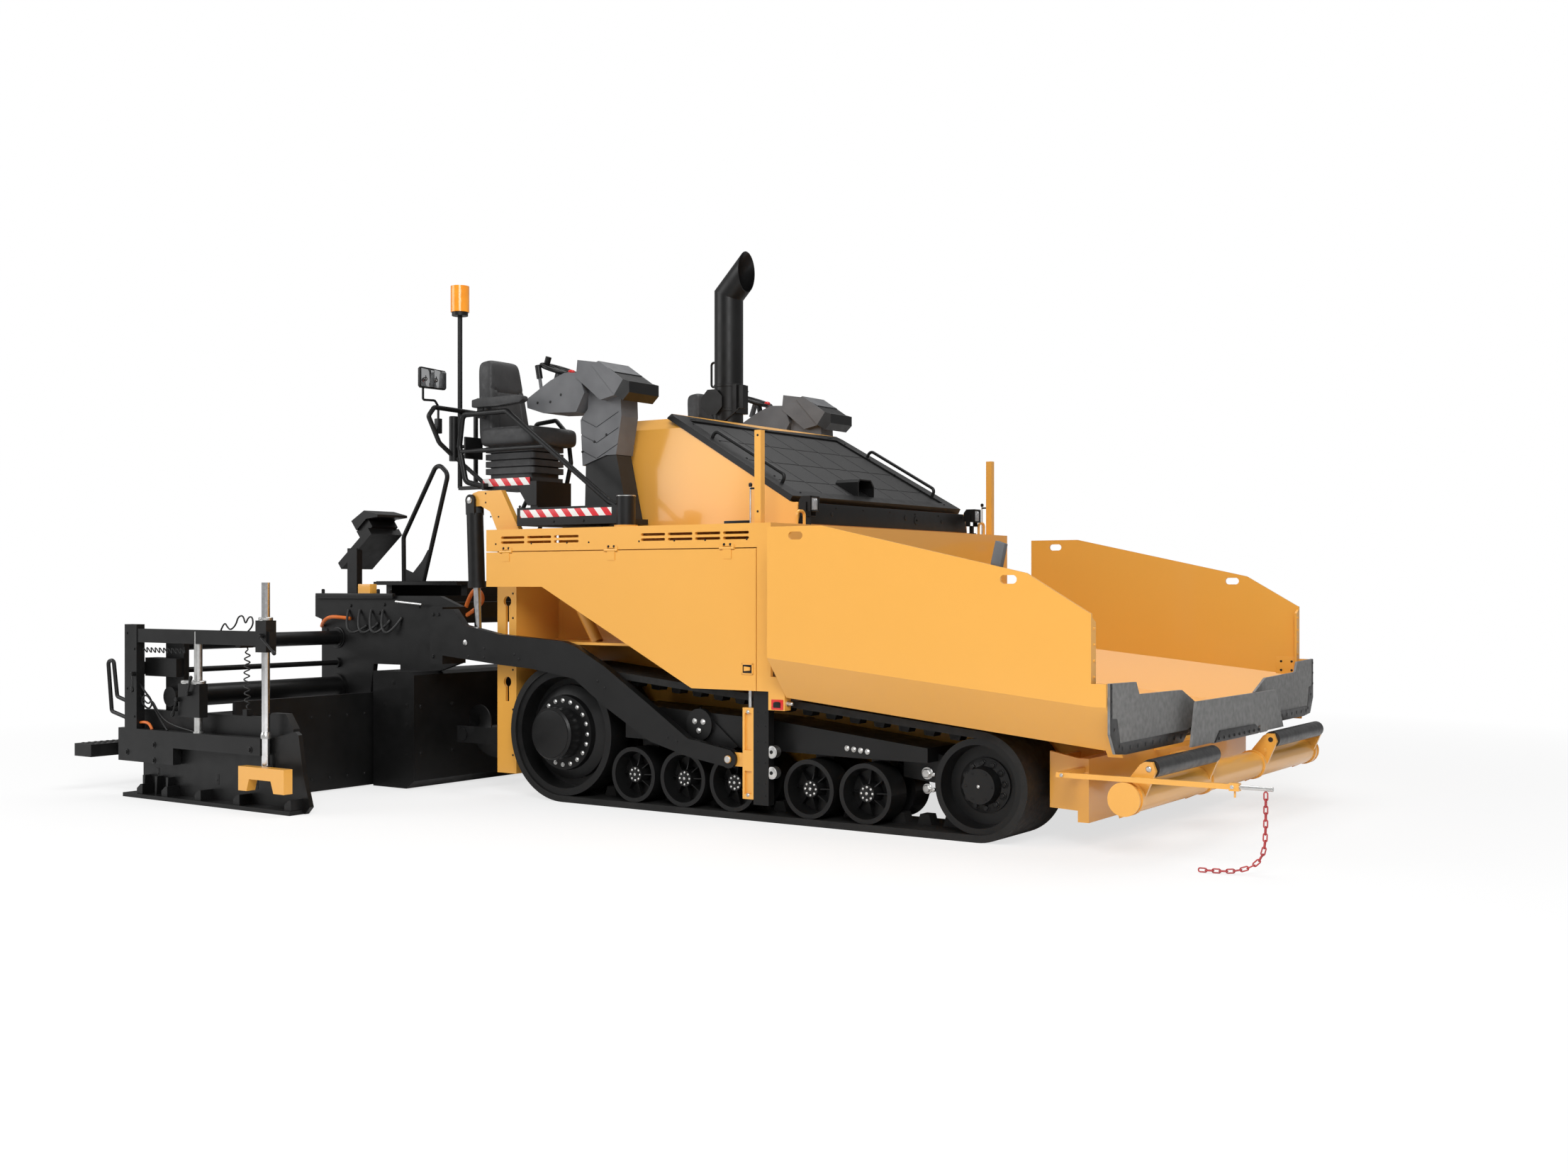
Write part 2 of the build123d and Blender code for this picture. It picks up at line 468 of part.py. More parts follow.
def make_hood():
    """The hollow engine hood, open on its slope, with its rear corners cut off."""
    outer = hood_block(0, 0, HOOD_REAR_X, HOOD_FRONT_X)
    inner = hood_block(HOOD_T, -HOOD_T, HOOD_REAR_X + HOOD_T, HOOD_FRONT_X - HOOD_T)
    inner = inner + Pos(0, 0, -HOOD_T) * inner
    reach, over = HOOD_FOOT_W + 90, HOOD_TOP_Z + 50
    hood = outer - inner - plate_xz([(HOOD_CREST_X, HOOD_TOP_Z), (HOOD_TOE_X, HOOD_TOE_Z),
                                     (HOOD_FRONT_X + 50, HOOD_TOE_Z), (HOOD_FRONT_X + 50, over),
                                     (HOOD_CREST_X, over)], -reach, reach)
    for sign in (1, -1):
        corner = plate_xy([(HOOD_REAR_X - 1, sign * HOOD_CORNER_W), (HOOD_CORNER_X, sign * (HOOD_FOOT_W + 1)),
                           (HOOD_CORNER_X, sign * reach), (HOOD_REAR_X - 1, sign * reach)], DECK_Z - 1, over)
        lean = plate_xy([(HOOD_REAR_X, sign * HOOD_CORNER_W), (HOOD_REAR_X + 30, sign * HOOD_CORNER_W),
                         (HOOD_CORNER_X + 30, sign * (HOOD_FOOT_W + 1)),
                         (HOOD_CORNER_X, sign * (HOOD_FOOT_W + 1))], DECK_Z, HOOD_TOP_Z)
        hood = hood - corner + (lean & outer)
    for y in GRILLE_LEAF_YS:
        half, ear = LEAF_L / 2, 30
        hood = hood - bar_y(HOOD_CREST_X, HOOD_TOP_Z, y - half - FIT, y + half + FIT, KNOT_R + PASS / 2)
        for y0 in (y - half - ear, y + half + FIT):
            hood = hood + bar_y(HOOD_CREST_X, HOOD_TOP_Z, y0, y0 + ear - FIT, KNOT_R)
            hood = hood + block(HOOD_CREST_X - 60, HOOD_CREST_X, y0, y0 + ear - FIT, HOOD_TOP_Z - 1, HOOD_TOP_Z + 4)
        hood = hood + bar_y(HOOD_CREST_X, HOOD_TOP_Z, y - half - 2, y + half + 2, KNOT_PIN_R)
    save("hood", hood)


def make_grille():
    """The black cover of the hood's slope: a rim, a sheet of mesh, the air scoop and two rails."""
    slope_x, slope_z = HOOD_TOE_X - HOOD_CREST_X, HOOD_TOE_Z - HOOD_TOP_Z
    length = hypot(slope_x, slope_z)
    ux, uz = slope_x / length, slope_z / length

    def on_slope(along, off):
        return HOOD_CREST_X + ux * along - uz * off, HOOD_TOP_Z + uz * along + ux * off

    def slab(start, low, high):
        return [on_slope(start, low), on_slope(length - start, low), on_slope(length - start, high),
                on_slope(start, high)]

    cover = hood_block(0, 2 * GRILLE_T, HOOD_CREST_X - 50, HOOD_FRONT_X + 50)
    middle = hood_block(GRILLE_RIM, 2 * GRILLE_T, HOOD_CREST_X - 50, HOOD_FRONT_X + 50)
    reach = HOOD_FOOT_W
    end = 90
    grille = plate_xz(slab(14, 1, 1 + GRILLE_T), -reach, reach) & cover
    grille = grille - (plate_xz(slab(end, -5, 2 * GRILLE_T), -reach, reach) & middle)
    mesh_z = 18
    grille = grille + (plate_xz(slab(end - 2, mesh_z, mesh_z + MESH_T), -reach, reach)
                       & hood_block(GRILLE_RIM - 2, 2 * GRILLE_T, HOOD_CREST_X, HOOD_FRONT_X))
    scoop_x0, scoop_x1, scoop_z, wall = 640, 812, 2060, 8
    roof = [(-200, 1900), (-200, 2040), (-180, scoop_z), (-40, scoop_z), (0, 2020), (0, 1900)]
    inside = [(-200 + wall, 1899), (-200 + wall, 2040 - wall), (-176, scoop_z - wall), (-44, scoop_z - wall),
              (-wall, 2016 - wall), (-wall, 1899)]
    scoop = plate_yz(roof, scoop_x0, scoop_x1) - plate_yz(inside, scoop_x0 - 1, scoop_x1 + 1)
    above_mesh = [on_slope(0, mesh_z + 2), on_slope(length, mesh_z + 2), on_slope(length, 400), on_slope(0, 400)]
    grille = grille + (scoop & plate_xz(above_mesh, -300, 300))
    rail_y, lift = HOOD_W - 65, 52
    a, b = on_slope(350, GRILLE_T), on_slope(960, GRILLE_T)
    c, d = on_slope(960, GRILLE_T + lift), on_slope(350, GRILLE_T + lift)
    for y in (rail_y, -rail_y):
        grille = grille + bent_tube([(a[0], y, a[1]), (d[0], y, d[1]), (c[0], y, c[1]), (b[0], y, b[1])], 11, 30)
    for y in GRILLE_LEAF_YS:
        half, ear = LEAF_L / 2, 30
        for y0 in (y - half - ear - PASS / 2, y + half - PASS / 2):
            grille = grille - bar_y(HOOD_CREST_X, HOOD_TOP_Z, y0, y0 + ear + PASS, KNOT_R + PASS / 2)
        knot = bar_y(HOOD_CREST_X, HOOD_TOP_Z, y - half, y + half, KNOT_R)
        leaf = plate_xz([on_slope(0, KNOT_R), on_slope(70, GRILLE_T + 4), on_slope(70, GRILLE_T - 2),
                         on_slope(0, KNOT_R - 6)], y - half, y + half)
        bore = bar_y(HOOD_CREST_X, HOOD_TOP_Z, y - half - 1, y + half + 1, KNOT_PIN_R + FIT)
        grille = grille + (knot + leaf - bore)
    save("hood_grille", grille)


def make_exhaust():
    """The exhaust stack: a riser, a head bent forward and cut off upright, and its fittings."""
    rise = EXHAUST_MOUTH_X - EXHAUST_X
    below = Plane(origin=(EXHAUST_X, 0, EXHAUST_BEND_Z), z_dir=(sin(pi / 8), 0, cos(pi / 8)))
    span = 2000
    low_half = below * Pos(0, 0, -span / 2) * Box(span, span, span)
    high_half = below * Pos(0, 0, span / 2) * Box(span, span, span)
    start = (EXHAUST_X - rise, 0, EXHAUST_BEND_Z - rise)
    tip = (EXHAUST_X + 3 * rise, 0, EXHAUST_BEND_Z + 3 * rise)
    foot, top = (EXHAUST_X, 0, HOOD_TOP_Z + FIT), (EXHAUST_X, 0, EXHAUST_BEND_Z + span / 4)
    flange_top = (EXHAUST_X, 0, HOOD_TOP_Z + 12)
    bore_r = EXHAUST_R - EXHAUST_WALL
    riser = bar(foot, top, EXHAUST_R) + bar(foot, flange_top, EXHAUST_R + 35) - bar(flange_top, top, bore_r)
    head = bar(start, tip, EXHAUST_R) - bar(start, tip, bore_r)
    stack = (riser & low_half) + (head & high_half)
    stack = stack - block(EXHAUST_MOUTH_X, EXHAUST_MOUTH_X + span, -span, span, 3000, 3000 + span)
    plate = extrude(Plane.XZ * RegularPolygon(95, 8, rotation=22.5), amount=8)
    out_y = EXHAUST_R + 12
    stack = stack + Pos(EXHAUST_X - 60, -out_y, 2640) * plate
    stack = stack + bar((EXHAUST_X - 40, -EXHAUST_R + 15, 2640), (EXHAUST_X - 40, -out_y - 2, 2640), 20)
    rear_x = EXHAUST_X - EXHAUST_R
    stack = stack + bent_tube([(rear_x + 4, 0, 2930), (rear_x - 50, 0, 2930), (rear_x - 50, 0, 2760),
                               (rear_x + 4, 0, 2760)], 8, 20)
    front_x = EXHAUST_X + EXHAUST_R
    stack = stack + block(front_x - 20, front_x + 14, -70, 70, 2560, 2760)
    stack = stack + block(front_x + 13, front_x + 60, -55, -20, 2590, 2752)
    save("exhaust_stack", stack)


def make_deck_fittings():
    """Edge posts, work lamps and lift handles on the deck."""
    post = block(893, 938, SIDE_Y - 70, SIDE_Y - 30, DECK_Z + FIT, 2270)
    handle_r, handle_y0, handle_y1 = 9, HOOD_FOOT_W + 30, HOOD_FOOT_W + 110
    handle = bent_tube([(1000, handle_y0, DECK_Z + FIT), (1000, handle_y0, 1812), (1000, handle_y1, 1812),
                        (1000, handle_y1, DECK_Z + FIT)], handle_r, 28)
    save_both("deck_posts", post, handle)
    y0, y1 = HOOD_FOOT_W - 90, HOOD_FOOT_W + 6
    lamp = plate_xz([(945, 1822), (1027, 1812), (1027, 1905), (965, 1905), (945, 1880)], y0, y1)
    lamp = lamp - block(1021, 1030, y0 + 8, y1 - 8, 1820, 1897)
    fork_t, fork_z = 4, 1790
    yoke = block(965, 1000, y0 - 8, y1 + 8, fork_z - fork_t, fork_z)
    yoke = yoke + block(970, 995, y0 + 38, y0 + 58, DECK_Z + FIT, fork_z)
    for y in (y0 - 8, y1 + 8 - fork_t):
        yoke = yoke + block(965, 1000, y, y + fork_t, fork_z - 1, fork_z + 80)
    axle = bar_y(982, fork_z + 65, y0 - 6, y1 + 6, 5)
    save_both("work_lamps", lamp + yoke + axle)


def wing_fall(x):
    """How far the wing's floor, crease and hinge have fallen at this place."""
    return SLOPE * (x - WING_REAR_X)


def wing_body():
    """A hopper wing: upright wall, slanted skirt and floor in one bent plate."""
    t = WING_T
    skirt = hypot(WING_Y - FLOOR_Y, CREASE_Z - FLOOR_Z)
    sy = (WING_Y - FLOOR_Y) / skirt
    inner = HINGE_Y + KNUCKLE_R - 4
    above_z = WING_TOP_Z + 300
    section = [(WING_Y, CREASE_Z), (WING_Y, above_z), (WING_Y - t, above_z), (WING_Y - t, CREASE_Z + t * sy / 2),
               (FLOOR_Y - t / 2, FLOOR_Z + t), (inner, FLOOR_Z + t), (inner, FLOOR_Z), (FLOOR_Y, FLOOR_Z)]
    wing = plate_yz(section, WING_REAR_X, WING_FRONT_X, SLOPE)
    (x1, z1), (x2, z2), (x3, z3) = WING_KINKS
    front = WING_FRONT_X + 20
    wing = wing - plate_xz([(WING_REAR_X - 20, WING_TOP_Z), (x1, z1), (x2, z2), (x3, z3), (front, z3 - 15),
                            (front, 2200), (WING_REAR_X - 20, 2200)], WING_Y - 200, WING_Y + 10)
    for x, z in ((1325, 1648), (2625, 1403)):
        hole = Pos(x, WING_Y, z) * Rot(90, 0, 0) * SlotOverall(94, 44)
        wing = wing - extrude(hole, amount=60, both=True)
    drop = wing_fall(WING_FRONT_X)
    flange = plate_yz([(WING_Y - t, CREASE_Z - drop), (WING_Y - t, 1215), (WING_Y - 60, 1190),
                       (WING_Y - 60, CREASE_Z - drop + 20), (FLOOR_Y - 60, FLOOR_Z - drop + t),
                       (FLOOR_Y - t / 2, FLOOR_Z - drop + t)], WING_FRONT_X - 14, WING_FRONT_X)
    nose = [(WING_Y, 775), (WING_Y, 888), (WING_Y - t, 888), (WING_Y - t, 780), (WING_Y - 214, 530),
            (WING_Y - 214, 510)]
    wing = wing + flange + plate_yz(nose, WING_FRONT_X - 2, NOSE_X - FLAP_T)
    mid = FLOOR_Z + t / 2
    for start, end in ((1160, 1560), (1900, 2300), (2640, 3040)):
        barrel = bar((start, HINGE_Y, mid - wing_fall(start)), (end, HINGE_Y, mid - wing_fall(end)), KNUCKLE_R)
        wing = wing + (barrel & block(0, FRONT_X, 0, HINGE_Y + KNUCKLE_R + 5, FLOOR_Z - 300, FLOOR_Z + 100))
    x0, x1 = WING_REAR_X - 200, WING_REAR_X + 2400
    bore = bar((x0, HINGE_Y, mid - wing_fall(x0)), (x1, HINGE_Y, mid - wing_fall(x1)), HINGE_R + FIT)
    return wing - bore


def make_wings():
    """The two folding hopper wings and the rubber flaps on their noses."""
    wing = wing_body()
    out = WING_Y - 18
    outline = [(out, 891), (out - 333, 884), (out - 375, 820), (out - 971, 810), (out - 1172, 735),
               (out - 1102, 602), (out - 977, 528), (out - 196, 528), (out - 64, 539), (out, 640)]
    flap = plate_yz(outline, NOSE_X - FLAP_T, NOSE_X)
    for side in ("left", "right"):
        save(f"hopper_wing_{side}", sided(wing, side))
        save(f"wing_flap_{side}", sided(flap, side))


def make_conveyor():
    """The conveyor floor between the wings, with the wings' hinge pins and its slats."""
    deck_half = HINGE_Y - KNUCKLE_R - PASS
    floor_z, sheet = FLOOR_Z - CONVEYOR_DROP, 20
    tray = plate_yz([(FRAME_Y, floor_z), (FRAME_Y, floor_z + sheet), (-FRAME_Y, floor_z + sheet),
                     (-FRAME_Y, floor_z)], WING_REAR_X, BOX_REAR_X, SLOPE)
    sides = plate_yz([(deck_half - sheet, floor_z + sheet), (deck_half, floor_z + sheet),
                      (deck_half, FLOOR_Z + 10), (deck_half - sheet, FLOOR_Z + 10)],
                     WING_REAR_X, BOX_REAR_X, SLOPE)
    ridge = plate_yz([(90, floor_z + sheet), (0, FLOOR_Z + 40), (-90, floor_z + sheet)],
                     WING_REAR_X, BOX_REAR_X, SLOPE)
    tray = tray + sides + flipped(sides) + ridge
    mid, ear_w = FLOOR_Z + WING_T / 2, 58
    for x in (1566, 1836, 2306, 2576):
        z0, z1 = mid - wing_fall(x), mid - wing_fall(x + ear_w)
        ear = bar((x, HINGE_Y, z0), (x + ear_w, HINGE_Y, z1), 20)
        neck = plate_yz([(deck_half - 10, z0 - 20), (HINGE_Y, z0 - 20), (HINGE_Y, z0 + 8), (deck_half - 10, z0 + 8)],
                        x, x + ear_w, SLOPE)
        tray = tray + ear + neck + flipped(ear + neck)
    x0, x1 = WING_REAR_X + 2, WING_FRONT_X - 10
    pin = bar((x0, HINGE_Y, mid - wing_fall(x0)), (x1, HINGE_Y, mid - wing_fall(x1)), HINGE_R)
    tray = tray + pin + flipped(pin)
    slats, slat_h, pitch = [], 30, 190
    tilt = Rot(0, degrees(atan2(SLOPE, 1)), 0)
    inner, outer = 130, deck_half - sheet - 14
    for number in range(9):
        x = WING_REAR_X + 60 + number * pitch
        z = floor_z + sheet - wing_fall(x) + slat_h / 2 * hypot(1, SLOPE)
        slats.append(Pos(x, (inner + outer) / 2, z) * tilt * Box(45, outer - inner, slat_h))
    save("conveyor", tray, *slats, *[flipped(slat) for slat in slats])


def make_apron():
    """The rubber-edged apron across the hopper's mouth, on its pin."""
    low = APRON_PIN_Z - 2 * APRON_PIN_R
    apron = plate_yz([(-796, 514), (-725, 752), (621, 746), (770, 514), (470, 514), (455, low), (-455, low),
                      (-470, 514)], APRON_X, APRON_X + FLAP_T)
    pin_x = APRON_X - APRON_PIN_R
    knuckle = bar_y(pin_x, APRON_PIN_Z, -420, 420, APRON_PIN_R)
    spans = ((-420, -336), (-294, 294), (336, 420))
    for y0, y1 in spans:
        knuckle = knuckle + bar_y(pin_x, APRON_PIN_Z, y0, y1, 2 * APRON_PIN_R)
    for y in APRON_ARM_YS:
        middle = y + APRON_ARM_T / 2
        apron = apron - block(APRON_X - 1, APRON_X + FLAP_T + 1, middle - 21, middle + 21, 480, APRON_PIN_Z + 30)
    save("apron_flap", apron + knuckle)


def make_front_beam():
    """The oscillating push beam, its two rollers and the side guide rod."""
    half, strap = SWING_HALF, 8
    beam = bar_y(TUBE_X, TUBE_Z, -TUBE_HALF, TUBE_HALF, TUBE_R)
    beam = beam + block(SWING_X - 40, TUBE_X, -60, 60, TUBE_Z - half, TUBE_Z + half)
    web = plate_xy([(TUBE_X - 20, 420), (TUBE_X - 20, -420), (SWING_X - 40, -60), (SWING_X - 40, 60)],
                   TUBE_Z - 15, TUBE_Z + 15)
    beam = beam + web
    for sign in (1, -1):
        for y, width, radius in ((TUBE_HALF - 12, 12, TUBE_R + strap), (ROLLER_OUT_Y + 40, 30, TUBE_R + strap),
                                 (ROLLER_IN_Y - 90, 30, TUBE_R + strap)):
            y0, y1 = sorted((sign * y, sign * (y + width)))
            beam = beam + bar_y(TUBE_X, TUBE_Z, y0, y1, radius)
        for y in (ROLLER_IN_Y - EAR_T - PASS, ROLLER_OUT_Y + PASS):
            y0, y1 = sorted((sign * y, sign * (y + EAR_T)))
            ear = plate_xz([(TUBE_X - 57, TUBE_Z - 108), (TUBE_X - 90, TUBE_Z - 10), (ROLLER_X - 45, ROLLER_Z + 22),
                            (ROLLER_X - 20, ROLLER_Z + 36), (ROLLER_X + 20, ROLLER_Z + 36),
                            (ROLLER_X + 38, ROLLER_Z - 10), (TUBE_X + 50, TUBE_Z - 60)], y0, y1)
            beam = beam + ear - bar_y(ROLLER_X, ROLLER_Z, y0 - 1, y1 + 1, ROLLER_PIN_R + FIT)
    beam = beam - bar((SWING_X, 0, TUBE_Z - half - 20), (SWING_X, 0, TUBE_Z + half + 20), SWING_R + FIT)
    save("push_beam", beam)
    roller = bar_y(ROLLER_X, ROLLER_Z, ROLLER_IN_Y, ROLLER_OUT_Y, ROLLER_R)
    roller = roller + bar_y(ROLLER_X, ROLLER_Z, ROLLER_IN_Y - EAR_T - 4, ROLLER_OUT_Y + EAR_T + 4, ROLLER_PIN_R)
    for side in ("left", "right"):
        save(f"push_roller_{side}", sided(roller, side))
    y0, y1, z0, z1 = ROD_Y - ROD_HALF, ROD_Y + ROD_HALF, ROD_Z - ROD_HALF, ROD_Z + ROD_HALF
    clamp_x = 3737
    rail = block(2845, clamp_x, y0, y1, z0, z1) + block(BOX_REAR_X + 1, 2846, y0, -BOX_HALF - FIT, z0, z1)
    rail = rail + block(clamp_x - 30, clamp_x + 18, y0 - 6, y1 + 6, z0 - 6, z1 + 6)
    rail = rail + bar_x(ROD_Y, ROD_Z, clamp_x, FRONT_X, ROD_HALF - 2)
    rail = rail + bar((clamp_x - 6, ROD_Y, z0), (clamp_x - 6, ROD_Y, z0 - 38), 5)
    save("guide_rod", rail)


def make_tow_points():
    """Fixed guides and cylinders, and the sliders that carry the tow pins."""
    y0, y1 = ARM_Y - PASS, ARM_Y + ARM_T - 5
    x0 = SLIDER_X1 + FIT
    guide = block(x0, GUIDE_X1, y0, y1, GUIDE_Z0, GUIDE_Z1)
    guide = guide + block(x0, GUIDE_X1, FRAME_Y + FRAME_T + FIT, y0 + 1, SHELF_Z + FIT, GUIDE_Z1)
    for z in GUIDE_ROLLER_ZS:
        guide = guide + bar_y(GUIDE_X1 + 18, z, y0 + 8, y1 - 4, GUIDE_ROLLER_R)
    mid_x, mid_y = (SLIDER_X0 + SLIDER_X1) / 2, (y0 + y1) / 2
    barrel_z0, barrel_z1 = SLIDER_Z1 + TOW_TRAVEL + 16, 1300
    barrel = bar((mid_x, mid_y, barrel_z0), (mid_x, mid_y, barrel_z1), 27)
    barrel = barrel - bar((mid_x, mid_y, barrel_z0 - 1), (mid_x, mid_y, barrel_z1 - 20), TOW_ROD_R + FIT)
    guide = guide + barrel + block(mid_x + 20, SLIDER_X1 + 20, mid_y - 20, mid_y + 20, 1020, GUIDE_Z1)
    save_both("tow_guides", guide)
    slider = block(SLIDER_X0, SLIDER_X1, y0, y1, SLIDER_Z0, SLIDER_Z1)
    slider = slider - block(SLIDER_X0 + 14, SLIDER_X1 - 14, y1 - 14, y1 + 1, SLIDER_Z0 + 30, TOW_Z - 60)
    slider = slider - block(SLIDER_X0 + 14, SLIDER_X1 - 14, y1 - 14, y1 + 1, TOW_Z + 60, SLIDER_Z1 - 30)
    tongue = block(TOW_X, SLIDER_X0 + 1, mid_y - TONGUE_T / 2, mid_y + TONGUE_T / 2, TOW_Z - 40, TOW_Z + 40)
    slider = slider + tongue + bar_y(TOW_X, TOW_Z, mid_y - TONGUE_T / 2, mid_y + TONGUE_T / 2, 40)
    slider = slider + bar_y(TOW_X, TOW_Z, ARM_Y + 1, ARM_Y + ARM_T + 8, TOW_PIN_R)
    slider = slider + bar((mid_x, mid_y, SLIDER_Z1 - 1), (mid_x, mid_y, 1090), TOW_ROD_R)
    save_both("tow_sliders", slider)


def make_arms():
    """The two S-curved tow arms, slotted at the nose for the slider's tongue."""
    top = [(717, 410), (403, 463), (114, 649), (-246, 874), (-494, 997), (-593, 1022), (-1146, 1058),
           (-1321, 1089), (-1459, 1112), (-1556, 1217), (-1653, 1216)]
    low = [(-1653, 908), (-1146, 861), (-851, 842), (-494, 790), (-246, 628), (114, 431), (403, 356),
           (717, 306)]
    y1 = ARM_Y + ARM_T
    arm = plate_xz(top + low, ARM_Y, y1) + bar_y(TOW_X, TOW_Z, ARM_Y, y1, TOW_NOSE_R)
    mid_y = ARM_Y - PASS + (ARM_T + 1) / 2
    slot = block(TOW_X - 90, TOW_X + 120, mid_y - TONGUE_T / 2 - 3, mid_y + TONGUE_T / 2 + 3, 200, 560)
    arm = arm - slot - bar_y(TOW_X, TOW_Z, ARM_Y - 1, y1 + 1, TOW_PIN_R + FIT)
    arm = arm - bar_y(CYL_EYE_X, CYL_EYE_Z, ARM_Y - 1, y1 + 1, TOW_PIN_R)
    mount = block(-1770, -1653, CHEEK_Y1, y1, 850, 1230) - block(-1771, -1690, CHEEK_Y1 + 30, y1 - 25, 849, 1231)
    save_both("tow_arms", arm + mount)


def make_lift():
    """Rear deck brackets and the screed lift cylinders hung from them."""
    y0, y1 = CYL_Y - CYL_PLATE_T / 2, CYL_Y + CYL_PLATE_T / 2
    outline = [(-1053, DECK_Z + FIT), (-1212, 1998), (-1419, 1998), (-1470, 1985), (-1515, 1937),
               (-1475, 1895), (-1400, 1900), (-1315, 1861), (-1249, DECK_Z + FIT)]
    gap = PASS
    pin_y0, pin_y1 = y0 - gap - CLEVIS_T - 2, y1 + gap + CLEVIS_T + 2
    save_both("lift_brackets", plate_xz(outline, y0, y1) + bar_y(CYL_TOP_X, CYL_TOP_Z, pin_y0, pin_y1, TOW_PIN_R))
    reach = hypot(CYL_EYE_X - CYL_TOP_X, CYL_EYE_Z - CYL_TOP_Z)
    ux, uz = (CYL_EYE_X - CYL_TOP_X) / reach, (CYL_EYE_Z - CYL_TOP_Z) / reach

    def at(distance):
        return CYL_TOP_X + ux * distance, CYL_Y, CYL_TOP_Z + uz * distance

    gland = 580
    barrel = bar(at(85), at(gland), CYL_R) + bar(at(gland - 40), at(gland), CYL_R + 5)
    for inner in (y0 - gap - CLEVIS_T, y1 + gap):
        ear = bar_y(CYL_TOP_X, CYL_TOP_Z, inner, inner + CLEVIS_T, 40)
        neck_a, neck_b = at(0), at(95)
        strap = plate_xz([(neck_a[0] - 38, neck_a[2]), (neck_a[0] + 38, neck_a[2]),
                          (neck_b[0] + 38, neck_b[2]), (neck_b[0] - 38, neck_b[2])], inner, inner + CLEVIS_T)
        bore = bar_y(CYL_TOP_X, CYL_TOP_Z, inner - 1, inner + CLEVIS_T + 1, TOW_PIN_R + FIT)
        barrel = barrel + ear + strap - bore
    barrel = barrel - bar(at(120), at(gland + 10), CYL_ROD_R + FIT)
    rod = bar(at(465), at(reach - 20), CYL_ROD_R) + bar_y(CYL_EYE_X, CYL_EYE_Z, y0, y1, CYL_EYE_R)
    rod = rod - bar_y(CYL_EYE_X, CYL_EYE_Z, y0 - 1, y1 + 1, TOW_PIN_R)
    for side in ("left", "right"):
        save(f"lift_barrel_{side}", sided(barrel, side))
        save(f"lift_rod_{side}", sided(rod, side))


def make_screed():
    """The main screed and its upper frame with the slide bearings."""
    body = plate_xz([(MOLD_X, NOSE_Z), (MOLD_X, MOLD_TOP_Z - 20), (MOLD_X - 40, MOLD_TOP_Z),
                     (SCREED_REAR_X, MOLD_TOP_Z), (SCREED_REAR_X, PLATE_Z), (MOLD_X - 75, PLATE_Z)],
                    -MOLD_HALF, MOLD_HALF)
    wall = 20
    bay = (MOLD_HALF * 2 - 5 * wall) / 4
    for number in range(4):
        y0 = -MOLD_HALF + wall + number * (bay + wall)
        body = body - block(SCREED_REAR_X - 1, MOLD_X - 80, y0, y0 + bay, PLATE_Z + PLATE_T, MOLD_TOP_Z - wall)
    save("main_screed", body)
    cheek = plate_xz([(-1700, 850), (-1700, 1230), (-1900, 1300), (-3180, 1300), (-3180, 1150), (-3110, 1130),
                      (-3110, 572), (-2600, 572), (-2560, 820), (-2290, 820), (-2290, MOLD_TOP_Z),
                      (-1900, MOLD_TOP_Z)], CHEEK_Y0, CHEEK_Y1)
    frame = None
    for side in ("left", "right"):
        plate, holes = cheek, None
        for z, radius in SLIDE_ROWS:
            plate = plate + bar_y(SLIDE_X[side], z, CHEEK_Y0 - 40, CHEEK_Y1 + 20, radius + 18)
            hole = bar_y(SLIDE_X[side], z, CHEEK_Y0 - 41, CHEEK_Y1 + 21, radius + FIT)
            holes = hole if holes is None else holes + hole
        plate = sided(plate - holes, side)
        frame = plate if frame is None else frame + plate
    for x0, x1, z0, z1 in ((-1900, -1780, 1150, 1260), (-3180, -3060, 1160, 1300), (-2360, -2290, 1100, 1300)):
        frame = frame + block(x0, x1, -CHEEK_Y0 - 1, CHEEK_Y0 + 1, z0, z1)
    save("screed_frame", frame)


def make_walkway():
    """The screed's walkway with its two handrails, and the two control pods."""
    sheet, half = 25, 700
    walk = block(WALK_REAR_X, WALK_FRONT_X, -half, half, WALK_Z - sheet, WALK_Z)
    for x in (-3120, -2325):
        walk = walk + block(x - 30, x + 30, -half + 100, half - 100, 1300 + FIT, WALK_Z - sheet + 1)
    rail_y, rail_r = 560, 17
    points = [(-3000, WALK_Z - 1), (-3004, 1740), (-2640, 2290), (-2530, 2200), (-2790, WALK_Z - 1)]
    gusset = [(-2990, WALK_Z - 1), (-2990, 1500), (-2900, 1470), (-2800, 1560), (-2740, 1640), (-2772, WALK_Z - 1)]
    for sign in (1, -1):
        walk = walk + bent_tube([(x, sign * rail_y, z) for x, z in points], rail_r, 60)
        y0, y1 = sorted((sign * (rail_y - 4), sign * (rail_y + 4)))
        walk = walk + plate_xz(gusset, y0, y1)
    save("screed_walkway", walk)
    tilt = Pos(-2740, 0, 1660) * Rot(0, -38, 0)
    stand = block(-2830, -2730, 1205, 1255, 1300 + FIT, 1640)
    keypad = tilt * block(-230, 170, 960, 1250, -34, 22)
    screen = tilt * block(40, 190, 985, 1225, 20, 96)
    hood = tilt * plate_xz([(60, 90), (60, 175), (210, 150), (300, 40), (290, 26), (190, 90)], 965, 1245)
    save_both("screed_pods", stand + keypad + screen + hood)


